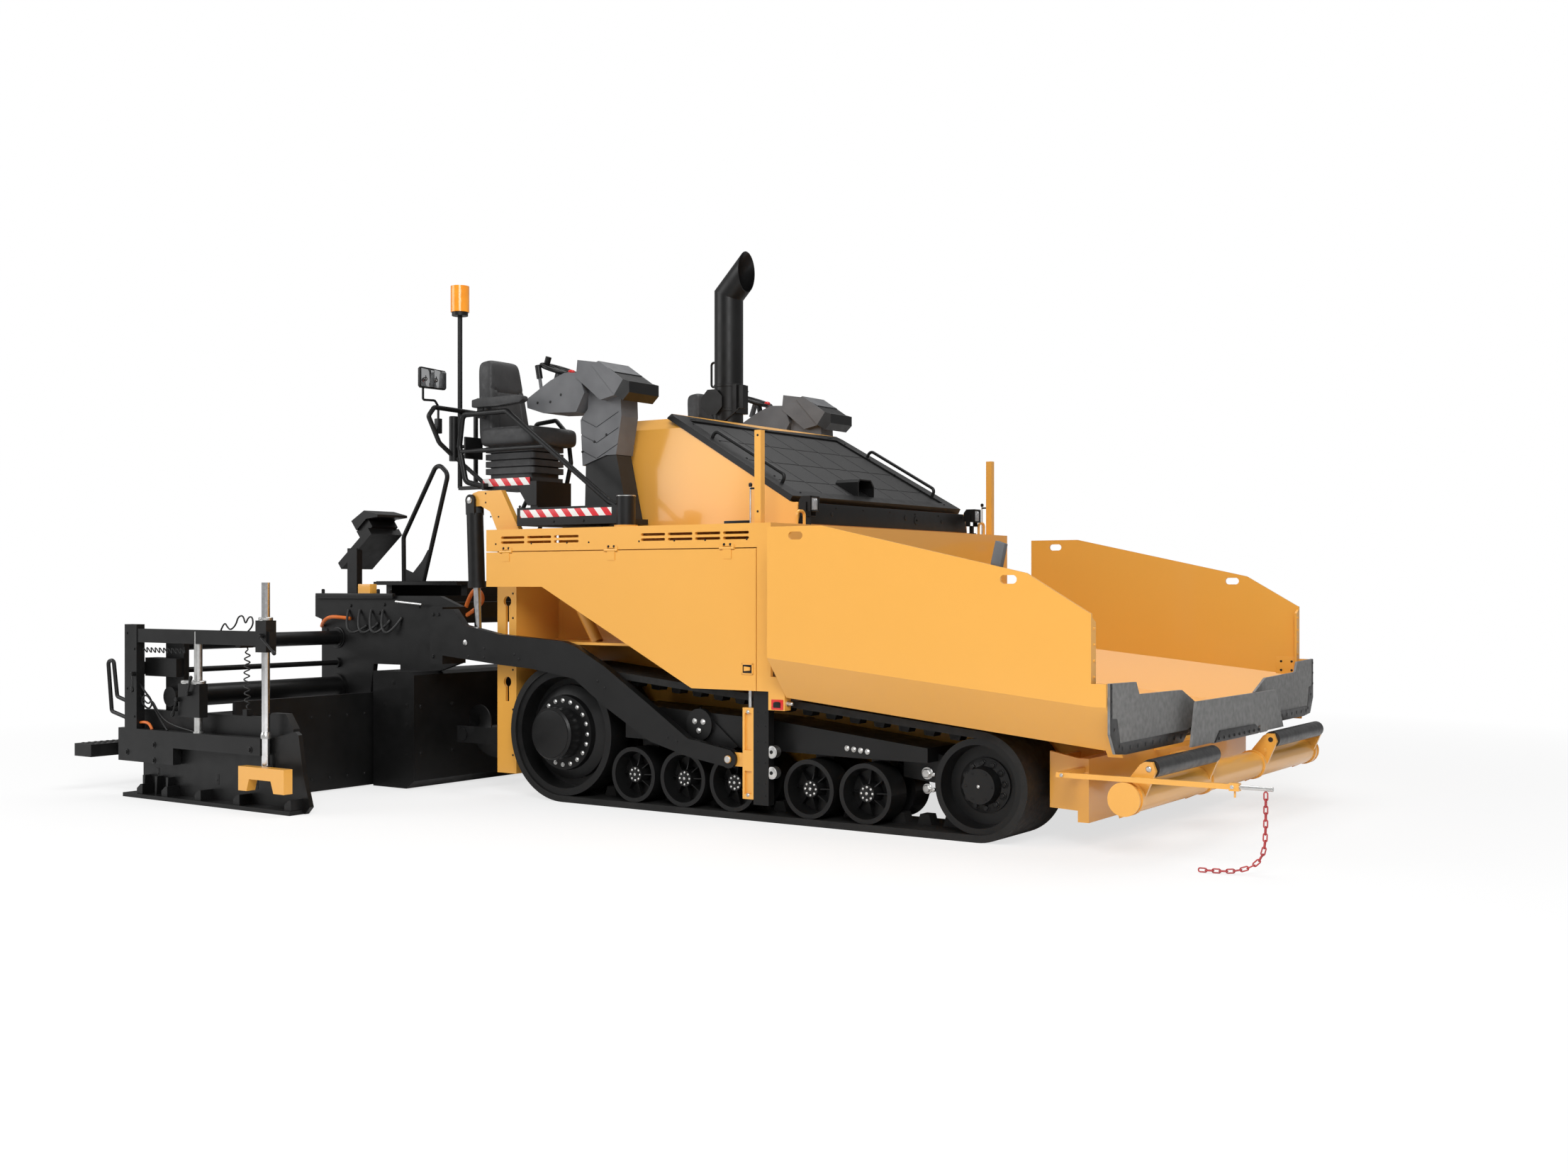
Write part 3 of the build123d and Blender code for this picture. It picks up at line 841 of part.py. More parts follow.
def make_extenders():
    """Each side's extending screed with its slide tubes, rear step and side plate."""
    wall = 20
    plate = block(EXT_REAR_X, EXT_FRONT_X, EXT_IN_Y, EXT_OUT_Y, EXT_Z0, EXT_Z1)
    middle = (EXT_IN_Y + EXT_OUT_Y) / 2
    for y0, y1 in ((EXT_IN_Y + wall, middle - wall / 2), (middle + wall / 2, EXT_OUT_Y - wall)):
        plate = plate - block(EXT_REAR_X + wall, EXT_FRONT_X - wall, y0, y1, EXT_Z0 + PLATE_T, EXT_Z1 - wall)
        plate = plate - block(EXT_REAR_X - 1, EXT_REAR_X + wall + 1, y0 + 60, y1 - 60, 300, 480)
    plate = plate + block(EXT_FRONT_X - 30, EXT_FRONT_X, EXT_IN_Y, EXT_OUT_Y, EXT_Z1, 640)
    side_y = GATE_Y - 5
    outline = [(-3200, 40), (-3200, 560), (-1925, 560), (-1905, 590), (-1771, 590), (-1700, 500), (-1700, 40)]
    plate = plate + plate_xz(outline, EXT_OUT_Y, side_y)
    for x in (-3050, -1950):
        plate = plate + block(x - 20, x + 20, side_y - 1, GATE_Y - FIT, 110, 430)
    beam_x = -3200
    plate = plate + block(beam_x, beam_x + 60, EXT_IN_Y, EXT_OUT_Y, 250, 450)
    for y in (1600, 2450):
        plate = plate + block(beam_x + 60, EXT_REAR_X, y, y + 40, 250, 450)
        plate = plate + block(-3725, beam_x, y, y + 40, 240, 290)
    step = block(REAR_X, -3725, 1560, 2690, 215, 300)
    plate = plate + step
    plate = plate + block(beam_x, EXT_REAR_X, EXT_OUT_Y - 40, EXT_OUT_Y, 250, 460)
    plug = block(CORD_X - 20, CORD_X + 20, EXT_OUT_Y + 8, side_y - 2, 559, CORD_LOW_Z)
    plate = plate + plug
    bracket = block(-3180, -2850, EXT_OUT_Y, RAIL_Y0 - 42, 780, 900)
    plate = plate + bracket + block(-3250, -3180, EXT_OUT_Y, RAIL_Y0, 790, 870)
    for side in ("left", "right"):
        x = SLIDE_X[side]
        moving = plate + block(x - 95, x + 95, EXT_OUT_Y - 40, EXT_OUT_Y, 450, 1085)
        low = min(-3180, x - 95)
        moving = moving + block(low, -2840, EXT_OUT_Y - 40, EXT_OUT_Y + 1, 780, 900)
        for z, radius in SLIDE_ROWS:
            moving = moving + bar_y(x, z, SLIDE_IN_Y, EXT_OUT_Y - 1, radius)
        z, radius = SLIDE_ROWS[-1]
        moving = moving + bar_y(x, z, EXT_OUT_Y - 1, EXT_OUT_Y + 40, radius - 6)
        save(f"extender_{side}", sided(moving, side))


def make_gates():
    """The gate frame that carries the rail, its sensor post, and the end gate that slides under it."""
    mid_y = (RAIL_Y0 + RAIL_Y1) / 2
    beam = plate_xz([(-3323, GATE_BEAM_Z), (-3323, 441), (-1884, 441), (-1884, 335), (-2741, 335),
                     (-2741, GATE_BEAM_Z)], RAIL_Y0, RAIL_Y1)
    frame = beam + block(-3254, -3125, RAIL_Y0, RAIL_Y1, 440, 1120)
    frame = frame + block(-3241, -1800, RAIL_Y0 + 5, RAIL_Y1 - 5, RAIL_Z0, RAIL_Z1)
    frame = frame + block(POST_X - 50, POST_X + 50, RAIL_Y0 - 8, RAIL_Y1 + 8, 966, 1160)
    for x in (SHORT_POST_X - 102, SHORT_POST_X + 4):
        frame = frame + block(x - 55, x + 55, RAIL_Y0 + 4, RAIL_Y1 + 6, 541, 752)
    frame = frame + bar((SHORT_POST_X, mid_y, 440), (SHORT_POST_X, mid_y, RAIL_Z0 + 1), POST_R - 1)
    loop = [(-3253, mid_y, 500), (-3440, mid_y, 540), (-3480, mid_y, 870), (-3420, mid_y, 880),
            (-3380, mid_y, 640), (-3253, mid_y, 610)]
    frame = frame + bent_tube(loop, 13, 24) - bar((POST_X, mid_y, 200), (POST_X, mid_y, 1200), POST_R + FIT)
    hanger = block(CORD_X - 24, CORD_X + 24, CORD_Y - 24, RAIL_Y0 + 6, CORD_TOP_Z, CORD_TOP_Z + 22)
    frame = frame + hanger
    post = bar((POST_X, mid_y, 262), (POST_X, mid_y, 1391), POST_R)
    guard = plate_xz([(-1967, 132), (-1967, 279), (-1546, 279), (-1546, 132), (-1640, 132), (-1666, 205),
                      (-1866, 205), (-1890, 132)], RAIL_Y1 + 30, RAIL_Y1 + 94)
    guard = guard + block(POST_X - 32, POST_X + 32, mid_y - 30, RAIL_Y1 + 31, 236, 275)
    side_face, foot_y = GATE_Y + GATE_T, RAIL_Y1 + 40
    gate = plate_xz([(-3142, 26), (-3142, 430), (-1900, 430), (-1640, 490), (-1610, 470), (-1567, 236),
                     (-1506, 44), (-1550, 0), (-3215, 0), (-3215, 26)], GATE_Y, side_face)
    gate = gate + block(-3215, -1560, side_face - 1, foot_y, 0, 26)
    for x in (-3060, -2800, -2460, -2080, -1600):
        gate = gate + plate_xz([(x - 30, 25), (x + 30, 25), (x + 30, 90), (x + 10, 90), (x - 30, 60)],
                               side_face - 1, RAIL_Y1 + 22)
    rib_top = GATE_BEAM_Z - GATE_TRAVEL - PASS
    for x in (-3080, -2950, -2835):
        gate = gate + plate_xz([(x - 8, 20), (x + 8, 20), (x + 16, rib_top), (x - 8, rib_top)], side_face - 1,
                               RAIL_Y1 - 20)
    for side in ("left", "right"):
        save(f"gate_frame_{side}", sided(frame, side))
        save(f"sensor_post_{side}", sided(post + guard, side))
        save(f"end_gate_{side}", sided(gate, side))


def auger_flight():
    """A helical flight about Z, its edge sunk into the shaft and trimmed to the auger's radius."""
    length = AUGER_OUT_Y - AUGER_IN_Y - 40
    path = Helix(AUGER_PITCH, length, AUGER_SHAFT_R - 4)
    depth = AUGER_R - AUGER_SHAFT_R + 4
    start = Plane(origin=path @ 0, x_dir=(1, 0, 0), z_dir=path % 0)
    section = start * Pos(depth / 2, 0, 0) * Rectangle(depth, FLIGHT_T)
    return sweep(section, path, is_frenet=True)


def make_augers():
    """The two augers, whose flights have opposite hands, and the drive between them."""
    flight = auger_flight()
    for side in ("left", "right"):
        shaft = bar_y(AUGER_X, AUGER_Z, AUGER_IN_Y, AUGER_OUT_Y + 50, AUGER_SHAFT_R)
        placed = Pos(AUGER_X, AUGER_IN_Y + 20, AUGER_Z) * Rot(-90, 0, 0) * flight
        save(f"auger_{side}", sided(shaft + placed, side))
    case = block(AUGER_X - 90, -1300, -50, 50, FRAME_LOW_Z, 900)
    case = case + block(-1310, COLUMN_X + COLUMN_W, -50, 50, FRAME_LOW_Z, 900)
    wall_y = COLUMN_Y - 20
    hanger = block(AUGER_X - 55, COLUMN_X + 90, wall_y - 22, wall_y, AUGER_Z - 55, AUGER_Z + 55)
    hanger = hanger - bar_y(AUGER_X, AUGER_Z, wall_y - 30, wall_y + 1, AUGER_SHAFT_R + FIT)
    save("auger_drive", case, hanger, flipped(hanger))


def station_base():
    """A station's pivot post, beam, floor, seat tray and handrails."""
    beam_x0 = -1015
    base = bar((PIVOT_X, 0, PAD_Z), (PIVOT_X, 0, 1925), PIVOT_R)
    base = base + block(beam_x0, PIVOT_X, -35, 25, STATION_LOW_Z, 1872)
    floor = plate_xy([(-970, -600), (-600, -600), (-600, -290), (PIVOT_X - 60, -290), (PIVOT_X - 60, -34),
                      (beam_x0, -34), (beam_x0, -280), (-970, -400)], STATION_LOW_Z, STATION_FLOOR_Z)
    tray_low = TRAY_Z - 44
    tray = plate_xz([(-1441, TRAY_Z), (-952, TRAY_Z), (-952, 1895), (-1030, 1895), (-1115, tray_low),
                     (-1441, tray_low)], -425, -90)
    base = base + floor + tray + block(beam_x0, -952, -400, -100, STATION_FLOOR_Z - 1, 1896)
    base = base + block(-1434, -1008, -100, -90, tray_low, 2080) + block(-1430, -1380, -95, -42, 2010, 2050)
    outer = bent_tube([(-1400, -60, 2030), (-1500, 0, 2060), (-1559, 0, 2300), (-1529, 0, 2505),
                       (-1130, 0, 2508), (-260, 0, 1895), (-200, 0, 1868)], RAIL_R, 40)
    middle = bar((-1555, 0, 2262), (-785, 0, 2262), 15)
    inboard = bent_tube([(-1300, -540, 2030), (-1378, -540, 2300), (-1378, -540, 2478), (-1190, -540, 2494),
                         (-1083, -540, 2392), (-1055, -540, 2199), (-1100, -540, 2030)], 15, 30)
    feet = block(-1320, -1080, -548, -424, 2010, 2040)
    return base + outer + middle + inboard + feet


def seat():
    """A station's seat: bellows of stacked slabs, cushion, leaning back and one armrest."""
    half, slabs, pitch = 158, 4, 48
    low = TRAY_Z + FIT
    body = rounded_block(-1400, -1030, SEAT_Y - 140, SEAT_Y + 140, low, 2300, 20)
    for number in range(slabs):
        z = low + 58 + number * pitch
        body = body + rounded_block(-1436, -996, SEAT_Y - half, SEAT_Y + half, z, z + pitch - 10, 30)
    body = body + block(-1420, -1010, SEAT_Y - half + 10, SEAT_Y + half - 10, low, low + 30)
    cushion = rounded_block(-1400, -955, SEAT_Y - 210, SEAT_Y + 210, 2299, 2400, 60)
    outline = FilletPolyline((-190, 0), (190, 0), (129, 512), (-129, 512), radius=60, close=True)
    panel = extrude(Plane.YZ * make_face(outline), amount=104)
    back = Pos(-1440, SEAT_Y, 2335) * Rot(0, -SEAT_TURN, 0) * panel
    arm_y = SEAT_Y + 245
    rest = plate_xz([(-1424, 2550), (-1424, 2592), (-1000, 2598), (-990, 2576)], arm_y - 26, arm_y + 26)
    pivot = bar_y(-1400, 2500, SEAT_Y + 120, arm_y - 12, 22)
    link = plate_xz([(-1424, 2480), (-1424, 2560), (-1370, 2560), (-1370, 2480)], arm_y - 26, arm_y - 12)
    return body + cushion + back + rest + pivot + link


def console():
    """A station's console: pedestal, ribbed column, forearm, head with its hood, and steering wheel."""
    low = STATION_FLOOR_Z + FIT
    y0, y1 = CONSOLE_Y - 65, CONSOLE_Y + 80
    pedestal = plate_xz([(-610, low), (-599, 2157), (-349, 2216), (-272, 1885), (-250, low)], y0, y1)
    column = plate_xz([(-619, 2140), (-636, 2438), (-576, 2500), (-563, 2635), (-302, 2590), (-296, 2440),
                       (-340, 2200), (-425, 2200)], y0 - 10, y1 + 10)
    for z in (2240, 2340, 2440):
        for y in (y0 - 10, y1 + 10):
            rib = plate_xz([(-640, z), (-500, z - 62), (-320, z + 26), (-320, z + 32), (-500, z - 55),
                            (-640, z + 8)], y - 6, y + 6)
            column = column - rib
    arm = plate_xz([(-1050, 2532), (-1059, 2589), (-852, 2697), (-730, 2739), (-610, 2732), (-560, 2600),
                    (-630, 2481), (-914, 2491)], CONSOLE_Y - 110, CONSOLE_Y + 140)
    head = plate_xz([(-623, 2700), (-610, 2811), (-426, 2782), (-300, 2715), (-296, 2569), (-420, 2545)],
                    CONSOLE_Y - 120, CONSOLE_Y + 150)
    hood = plate_xz([(-485, 2771), (-426, 2790), (-226, 2660), (-175, 2645), (-175, 2576), (-226, 2530),
                     (-296, 2569)], CONSOLE_Y - 135, CONSOLE_Y + 160)
    wheel_x, wheel_z, rim_r = -925, 2790, 120
    tilt = Pos(wheel_x, CONSOLE_Y - 30, wheel_z) * Rot(0, 20, 0)
    wheel = tilt * (Torus(rim_r, 14) + Box(2 * rim_r, 24, 12) + Box(24, 2 * rim_r, 12))
    stem = tilt * Pos(0, 0, -60) * Cylinder(20, 130)
    knob = tilt * Pos(-rim_r, 0, 30) * Cylinder(20, 50)
    stick = bar((-960, CONSOLE_Y + 100, 2630), (-985, CONSOLE_Y + 100, 2760), 11)
    grip = bar((-978, CONSOLE_Y + 100, 2725), (-995, CONSOLE_Y + 100, 2810), 20)
    return pedestal + column + arm + head + hood + wheel + stem + knob + stick + grip


def make_stations():
    """The two operator stations, each on its own pivot, and the beacon on the right one."""
    for side in ("left", "right"):
        for name, piece in (("station_base", station_base()), ("seat", seat()), ("console", console())):
            save(f"{name}_{side}", sided(Pos(0, PIVOT_Y, 0) * piece, side))
    mast_x, mast_y = -1668, -PIVOT_Y + 112
    mast = bar((mast_x, mast_y, 2030), (mast_x, mast_y, 3215), 16)
    foot = block(mast_x, -1441 - FIT, mast_y - 16, mast_y + 16, 2016, 2040)
    lamp = bar((mast_x, mast_y, 3215), (mast_x, mast_y, 3390), 62)
    base = bar((mast_x, mast_y, 3190), (mast_x, mast_y, 3215), 54)
    save("beacon", mast + foot + lamp + base)


def tube_length(points, radii):
    """The length of a path of straight runs joined by arcs of the given radii."""
    total = sum((Vector(*b) - Vector(*a)).length for a, b in zip(points, points[1:]))
    for a, b, c, radius in zip(points, points[1:], points[2:], radii):
        turn = (Vector(*b) - Vector(*a)).get_angle(Vector(*c) - Vector(*b)) * pi / 180
        total -= 2 * radius * tan(turn / 2) - radius * turn
    return total


def make_cord(name, points, radius):
    """A cord's tube along the chosen points, whose corner radii follow from the runs beside them."""
    radii = []
    for a, b, c in zip(points, points[1:], points[2:]):
        first, second = Vector(*b) - Vector(*a), Vector(*c) - Vector(*b)
        half_turn = first.get_angle(second) * pi / 360
        radii.append(0.45 * min(first.length, second.length) / tan(half_turn))
    path = FilletPolyline(*points, radius=radii)
    cord = sweep(Plane(origin=path @ 0, z_dir=path % 0) * Circle(radius), path)
    expected = pi * radius ** 2 * tube_length(points, radii)
    print(name, "radii", [round(value) for value in radii], "volume ratio", round(cord.volume / expected, 4))
    return cord


def make_chain():
    """The red chain that hangs from the guide rod to the ground."""
    r, top = CHAIN_R, ROD_Z - ROD_HALF + 2
    points = [(3880, ROD_Y, top), (3880, ROD_Y, 300), (3879, ROD_Y - 1, 200), (3874, ROD_Y - 5, 105),
              (3840, ROD_Y - 32, 45), (3770, ROD_Y - 74, 20), (3690, ROD_Y - 93, r), (3585, ROD_Y - 105, r)]
    save("guide_chain", make_cord("guide_chain", points, r))


def make_curly_cords():
    """The coiled cords between the rails and the extenders, drawn as thick as their coils."""
    points = [(CORD_X, CORD_Y, CORD_TOP_Z), (CORD_X, CORD_Y, 895), (CORD_X - 8, CORD_Y, 790),
              (CORD_X, CORD_Y, 690), (CORD_X, CORD_Y, CORD_LOW_Z)]
    cord = make_cord("curly_cord", points, CORD_R)
    for side in ("left", "right"):
        save(f"curly_cord_{side}", sided(cord, side))


make_tracks()
make_wheels()
make_undercarriage()
make_main_frame()
make_engine()
make_body()
make_hood()
make_grille()
make_exhaust()
make_deck_fittings()
make_wings()
make_conveyor()
make_apron()
make_front_beam()
make_tow_points()
make_arms()
make_lift()
make_screed()
make_walkway()
make_extenders()
make_gates()
make_augers()
make_stations()
make_chain()
make_curly_cords()
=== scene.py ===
"""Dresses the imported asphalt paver: finishes, small fittings, soft parts and the photograph's view.

The frame has +X forward, +Y to the machine's left and +Z up. Sizes of the added pieces are in
millimetres and become metres as they are made. Materials, lamps and the camera are in metres.
"""
import json
import math

import bpy
import bmesh
from mathutils import Matrix, Vector


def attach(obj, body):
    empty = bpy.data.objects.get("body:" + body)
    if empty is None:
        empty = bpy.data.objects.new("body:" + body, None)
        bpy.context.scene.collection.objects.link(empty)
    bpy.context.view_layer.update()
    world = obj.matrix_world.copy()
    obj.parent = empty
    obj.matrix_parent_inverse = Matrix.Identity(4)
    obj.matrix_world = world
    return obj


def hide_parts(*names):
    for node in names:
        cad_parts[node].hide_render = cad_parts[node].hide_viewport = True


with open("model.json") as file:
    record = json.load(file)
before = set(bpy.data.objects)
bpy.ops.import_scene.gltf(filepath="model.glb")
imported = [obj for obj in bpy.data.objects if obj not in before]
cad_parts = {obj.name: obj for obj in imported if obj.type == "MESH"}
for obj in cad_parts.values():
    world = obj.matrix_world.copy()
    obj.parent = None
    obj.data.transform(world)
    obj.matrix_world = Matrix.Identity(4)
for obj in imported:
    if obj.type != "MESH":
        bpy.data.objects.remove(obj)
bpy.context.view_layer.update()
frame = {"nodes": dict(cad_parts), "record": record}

MM = 0.001
IMAGE_W = 2212                     # width of the photograph, in pixels
CAMERA_AT = (6.363, -9.197, 1.368)
CAMERA_HEADING = 34.26             # degrees that the view turns from +Y towards -X
CAMERA_PITCH = -0.06
FOCAL_PX = 2312.7
SENSOR_MM = 36.0
SKY_SEEN, SKY_LIGHT = 1.0, 0.34    # strength of the white world for the camera, and for the object
LAMPS = (("key", (7, -10, 8), (0, 0, 1), 6, 1020),      # name, place, aim, size and watts
         ("fill", (-9, -8, 6), (0, 0, 1), 7, 470),
         ("top", (0, 2, 11), (0, 0, 0), 8, 640))
SIDES = (("left", 1), ("right", -1))
SHARP_ANGLE = 32                   # degrees from which an edge is drawn sharp

# Places that the CAD pieces have too, in millimetres; those along Y are faces or middles on the left
HUB_Y, GEARBOX_X, GEARBOX_Y, GEARBOX_Z = 1371.5, 415, 1370.5, 540
BOGIE_XS, BOGIE_Z = (-76, 307, 680, 1215, 1592), 210
DRIVE_X, DRIVE_Z, DRIVE_FACE_Y, DRIVE_CAP_Y = -652, 440, 1390, 1510
IDLER_X, IDLER_Z, IDLER_COLLAR_Y, IDLER_CAP_Y = 2295, 298, 1312, 1380
FRAME_ARM_Y, FRAME_FACE_Y = 1216, 1336.5
DOOR_Y, ARM_FACE_Y, COLUMN_FACE_Y, GUIDE_FACE_Y = 1500, 1465, 1310, 1460
DECK_Z = 1733
SEAT_Y, CONSOLE_Y, PIVOT_X, PIVOT_Y = 1140, 1150, -125, 1400
SCREED_END_Y, FRAME_WALL_Y, SLIDE_XS = 1500, 1250, {"left": -2760, "right": -2935}
RAIL_Y1, POST_Y, POST_X, SHORT_POST_X, BEAM_Z = 2752, 2722, -1866, -2523, 441
CREST, TOE = (-132, 2441), (877, 1872)
PAD_HALF_T = 61                    # half the thickness of a seat pad before its crown
CHAIN_ROUTE = ((3880, -1500, 397), (3880, -1500, 300), (3879, -1501, 200), (3874, -1505, 105),
               (3840, -1532, 45), (3770, -1574, 20), (3690, -1593, 13), (3585, -1605, 13))
CORD_X, CORD_Y, CORD_ROUTE = -2163, 2628, ((0, 985), (0, 895), (-8, 790), (0, 690), (0, 600))


# Materials

def feed(tree, node, inputs):
    """Gives each input of a node its value, or joins it to the output that feeds it."""
    for key, value in inputs.items():
        if isinstance(value, bpy.types.NodeSocket):
            tree.links.new(value, node.inputs[key])
        else:
            node.inputs[key].default_value = value


def add_node(tree, kind, inputs=None, operation=None):
    """A shader node of a kind with its inputs."""
    node = tree.nodes.new(f"ShaderNode{kind}")
    if operation:
        node.operation = operation
    feed(tree, node, inputs or {})
    return node


def new_material(name):
    """An empty node material with its shader and output joined."""
    made = bpy.data.materials.new(name)
    made.use_nodes = True
    tree = made.node_tree
    tree.nodes.clear()
    shader = add_node(tree, "BsdfPrincipled")
    add_node(tree, "OutputMaterial", {"Surface": shader.outputs["BSDF"]})
    return made, tree, shader


def object_noise(tree, scale, detail=3.0):
    """Noise fixed to the object's own coordinates."""
    place = add_node(tree, "TexCoord").outputs["Object"]
    return add_node(tree, "TexNoise", {"Scale": scale, "Detail": detail, "Vector": place}).outputs["Fac"]


def spread(tree, value, low, high, start=0.3, end=0.7):
    """Maps a value on to the range between low and high."""
    ramp = add_node(tree, "MapRange", {"Value": value, "From Min": start, "From Max": end, "To Min": low,
                                       "To Max": high})
    return ramp.outputs["Result"]


def bump(tree, shader, value, height, strength=0.4):
    """Raises the surface a little where the value is high."""
    node = add_node(tree, "Bump", {"Strength": strength, "Distance": height, "Height": value})
    feed(tree, shader, {"Normal": node.outputs["Normal"]})


def two_tone(tree, value, dark, light):
    """A colour between dark and light, by the value."""
    blend = tree.nodes.new("ShaderNodeMix")
    blend.data_type = "RGBA"
    feed(tree, blend, {"A": (*dark, 1), "B": (*light, 1), "Factor": value})
    return blend.outputs["Result"]


def mottled(name, dark, light, rough, scale=3.0, metallic=0.0, coat=0.0, grain=None,
            grain_height=0.0002, shine=0.5):
    """A finish whose colour and gloss vary softly over the surface, with a fine grain."""
    made, tree, shader = new_material(name)
    colour = two_tone(tree, spread(tree, object_noise(tree, scale), 0, 1), dark, light)
    gloss = spread(tree, object_noise(tree, scale * 4), rough[0], rough[1])
    feed(tree, shader, {"Base Color": colour, "Roughness": gloss, "Metallic": metallic,
                        "Specular IOR Level": shine, "Coat Weight": coat, "Coat Roughness": 0.08})
    if grain:
        bump(tree, shader, object_noise(tree, grain, 2.0), grain_height)
    return made


def striped(name, pitch):
    """Slanting red and white bands of reflecting film, one pair to a pitch in metres."""
    made, tree, shader = new_material(name)
    place = add_node(tree, "TexCoord").outputs["Object"]
    split = add_node(tree, "SeparateXYZ", {"Vector": place}).outputs
    slant = add_node(tree, "Math", {0: split["Z"], 1: 0.9, 2: split["X"]}, "MULTIPLY_ADD").outputs["Value"]
    wrapped = add_node(tree, "Math", {0: slant, 1: pitch, 2: 0.0}, "WRAP").outputs["Value"]
    over = add_node(tree, "Math", {0: wrapped, 1: pitch / 2}, "GREATER_THAN").outputs["Value"]
    colour = two_tone(tree, over, (0.78, 0.78, 0.76), (0.62, 0.02, 0.03))
    feed(tree, shader, {"Base Color": colour, "Roughness": 0.32})
    bump(tree, shader, object_noise(tree, 260, 1.0), 0.0003)
    return made


def fine_mesh(name):
    """Dark woven wire whose holes show as a close pattern of darker dots; the holes' darker colour is painted
    shade for the space behind the mesh.
    """
    made, tree, shader = new_material(name)
    place = add_node(tree, "TexCoord").outputs["Object"]
    cells = add_node(tree, "TexVoronoi", {"Scale": 150, "Randomness": 0.0, "Vector": place})
    hole = spread(tree, cells.outputs["Distance"], 0, 1, 0.2, 0.32)
    # the holes get the darker colour: painted shade seen through the mesh, not a colour of the wire
    colour = two_tone(tree, hole, (0.001, 0.001, 0.001), (0.01, 0.01, 0.01))
    feed(tree, shader, {"Base Color": colour, "Roughness": 0.55})
    bump(tree, shader, hole, 0.0015, 0.6)
    return made


MATERIALS = {name: mottled(name, *look, **more) for name, *look, more in (
    ("yellow_paint", (0.80, 0.392, 0.066), (0.808, 0.397, 0.068), (0.29, 0.31), {"coat": 0.4}),
    ("black_paint", (0.005, 0.005, 0.005), (0.008, 0.008, 0.0082), (0.34, 0.46), {"shine": 0.3}),
    ("red_paint", (0.36, 0.03, 0.035), (0.5, 0.06, 0.06), (0.4, 0.6), 20, {"grain": 200}),
    ("chrome", (0.72, 0.72, 0.72), (0.8, 0.8, 0.81), (0.12, 0.22), 12, {"metallic": 1.0}),
    ("rubber_flap", (0.15, 0.15, 0.148), (0.22, 0.22, 0.216), (0.6, 0.8), 30,
     {"grain": 260, "grain_height": 0.0006}),
    ("track_rubber", (0.007, 0.0068, 0.0065), (0.013, 0.0125, 0.012), (0.55, 0.75), 6,
     {"grain": 90, "grain_height": 0.0006, "shine": 0.35}),
    ("roller_black", (0.012, 0.012, 0.012), (0.02, 0.02, 0.02), (0.3, 0.45), 6, {"grain": 150}),
    ("grey_plastic", (0.085, 0.087, 0.092), (0.12, 0.122, 0.128), (0.5, 0.62), 8,
     {"grain": 420, "grain_height": 0.0004}),
    ("seat_cover", (0.022, 0.022, 0.023), (0.036, 0.036, 0.037), (0.5, 0.68), 9,
     {"grain": 300, "grain_height": 0.0004}),
    ("amber_lens", (0.9, 0.28, 0.01), (0.98, 0.36, 0.02), (0.1, 0.2), 9, {"coat": 0.5}),
    ("cord_black", (0.012, 0.012, 0.012), (0.022, 0.022, 0.022), (0.4, 0.55), 14, {"grain": 200}),
)}
ZINC = mottled("zinc", (0.5, 0.5, 0.49), (0.68, 0.68, 0.67), (0.3, 0.42), 16, metallic=1.0, grain=120)
GLASS = mottled("lamp_glass", (0.42, 0.43, 0.44), (0.6, 0.61, 0.62), (0.08, 0.16), 24, metallic=0.6, coat=0.8)
MIRROR = mottled("mirror_glass", (0.85, 0.86, 0.87), (0.88, 0.89, 0.9), (0.02, 0.04), 2, metallic=1.0)
SIGNAL_RED = mottled("signal_red", (0.6, 0.012, 0.012), (0.7, 0.02, 0.018), (0.25, 0.4), 12, coat=0.3)
ORANGE_HOSE = mottled("orange_hose", (0.62, 0.13, 0.015), (0.75, 0.18, 0.025), (0.4, 0.55), 20, grain=150)
STRIPES = striped("stripes", 0.109)
MESH = fine_mesh("fine_mesh")

slot_of = {entry["node"]: entry["material_slot"] for entry in frame["record"]["subparts"]}
for node, piece in frame["nodes"].items():
    piece.data.materials.clear()
    piece.data.materials.append(MATERIALS[slot_of[node]])


def paint_faces(node, finish, chosen):
    """Gives a second finish to the faces of a CAD node whose middle, in millimetres, is chosen."""
    shape = frame["nodes"][node]
    shape.data.materials.append(finish)
    number = len(shape.data.materials) - 1
    for face in shape.data.polygons:
        x, y, z = (shape.matrix_world @ face.center) / MM
        if chosen(x, abs(y), z):
            face.material_index = number


# Building pieces

def rectangle(low, high, foot, top):
    """The outline of an upright rectangle, between two places across and two heights."""
    return [(low, foot), (high, foot), (high, top), (low, top)]


def mirrored(sign, *points):
    """Points of the left side, on the side that has the sign."""
    return [(x, sign * y, z) for x, y, z in points]


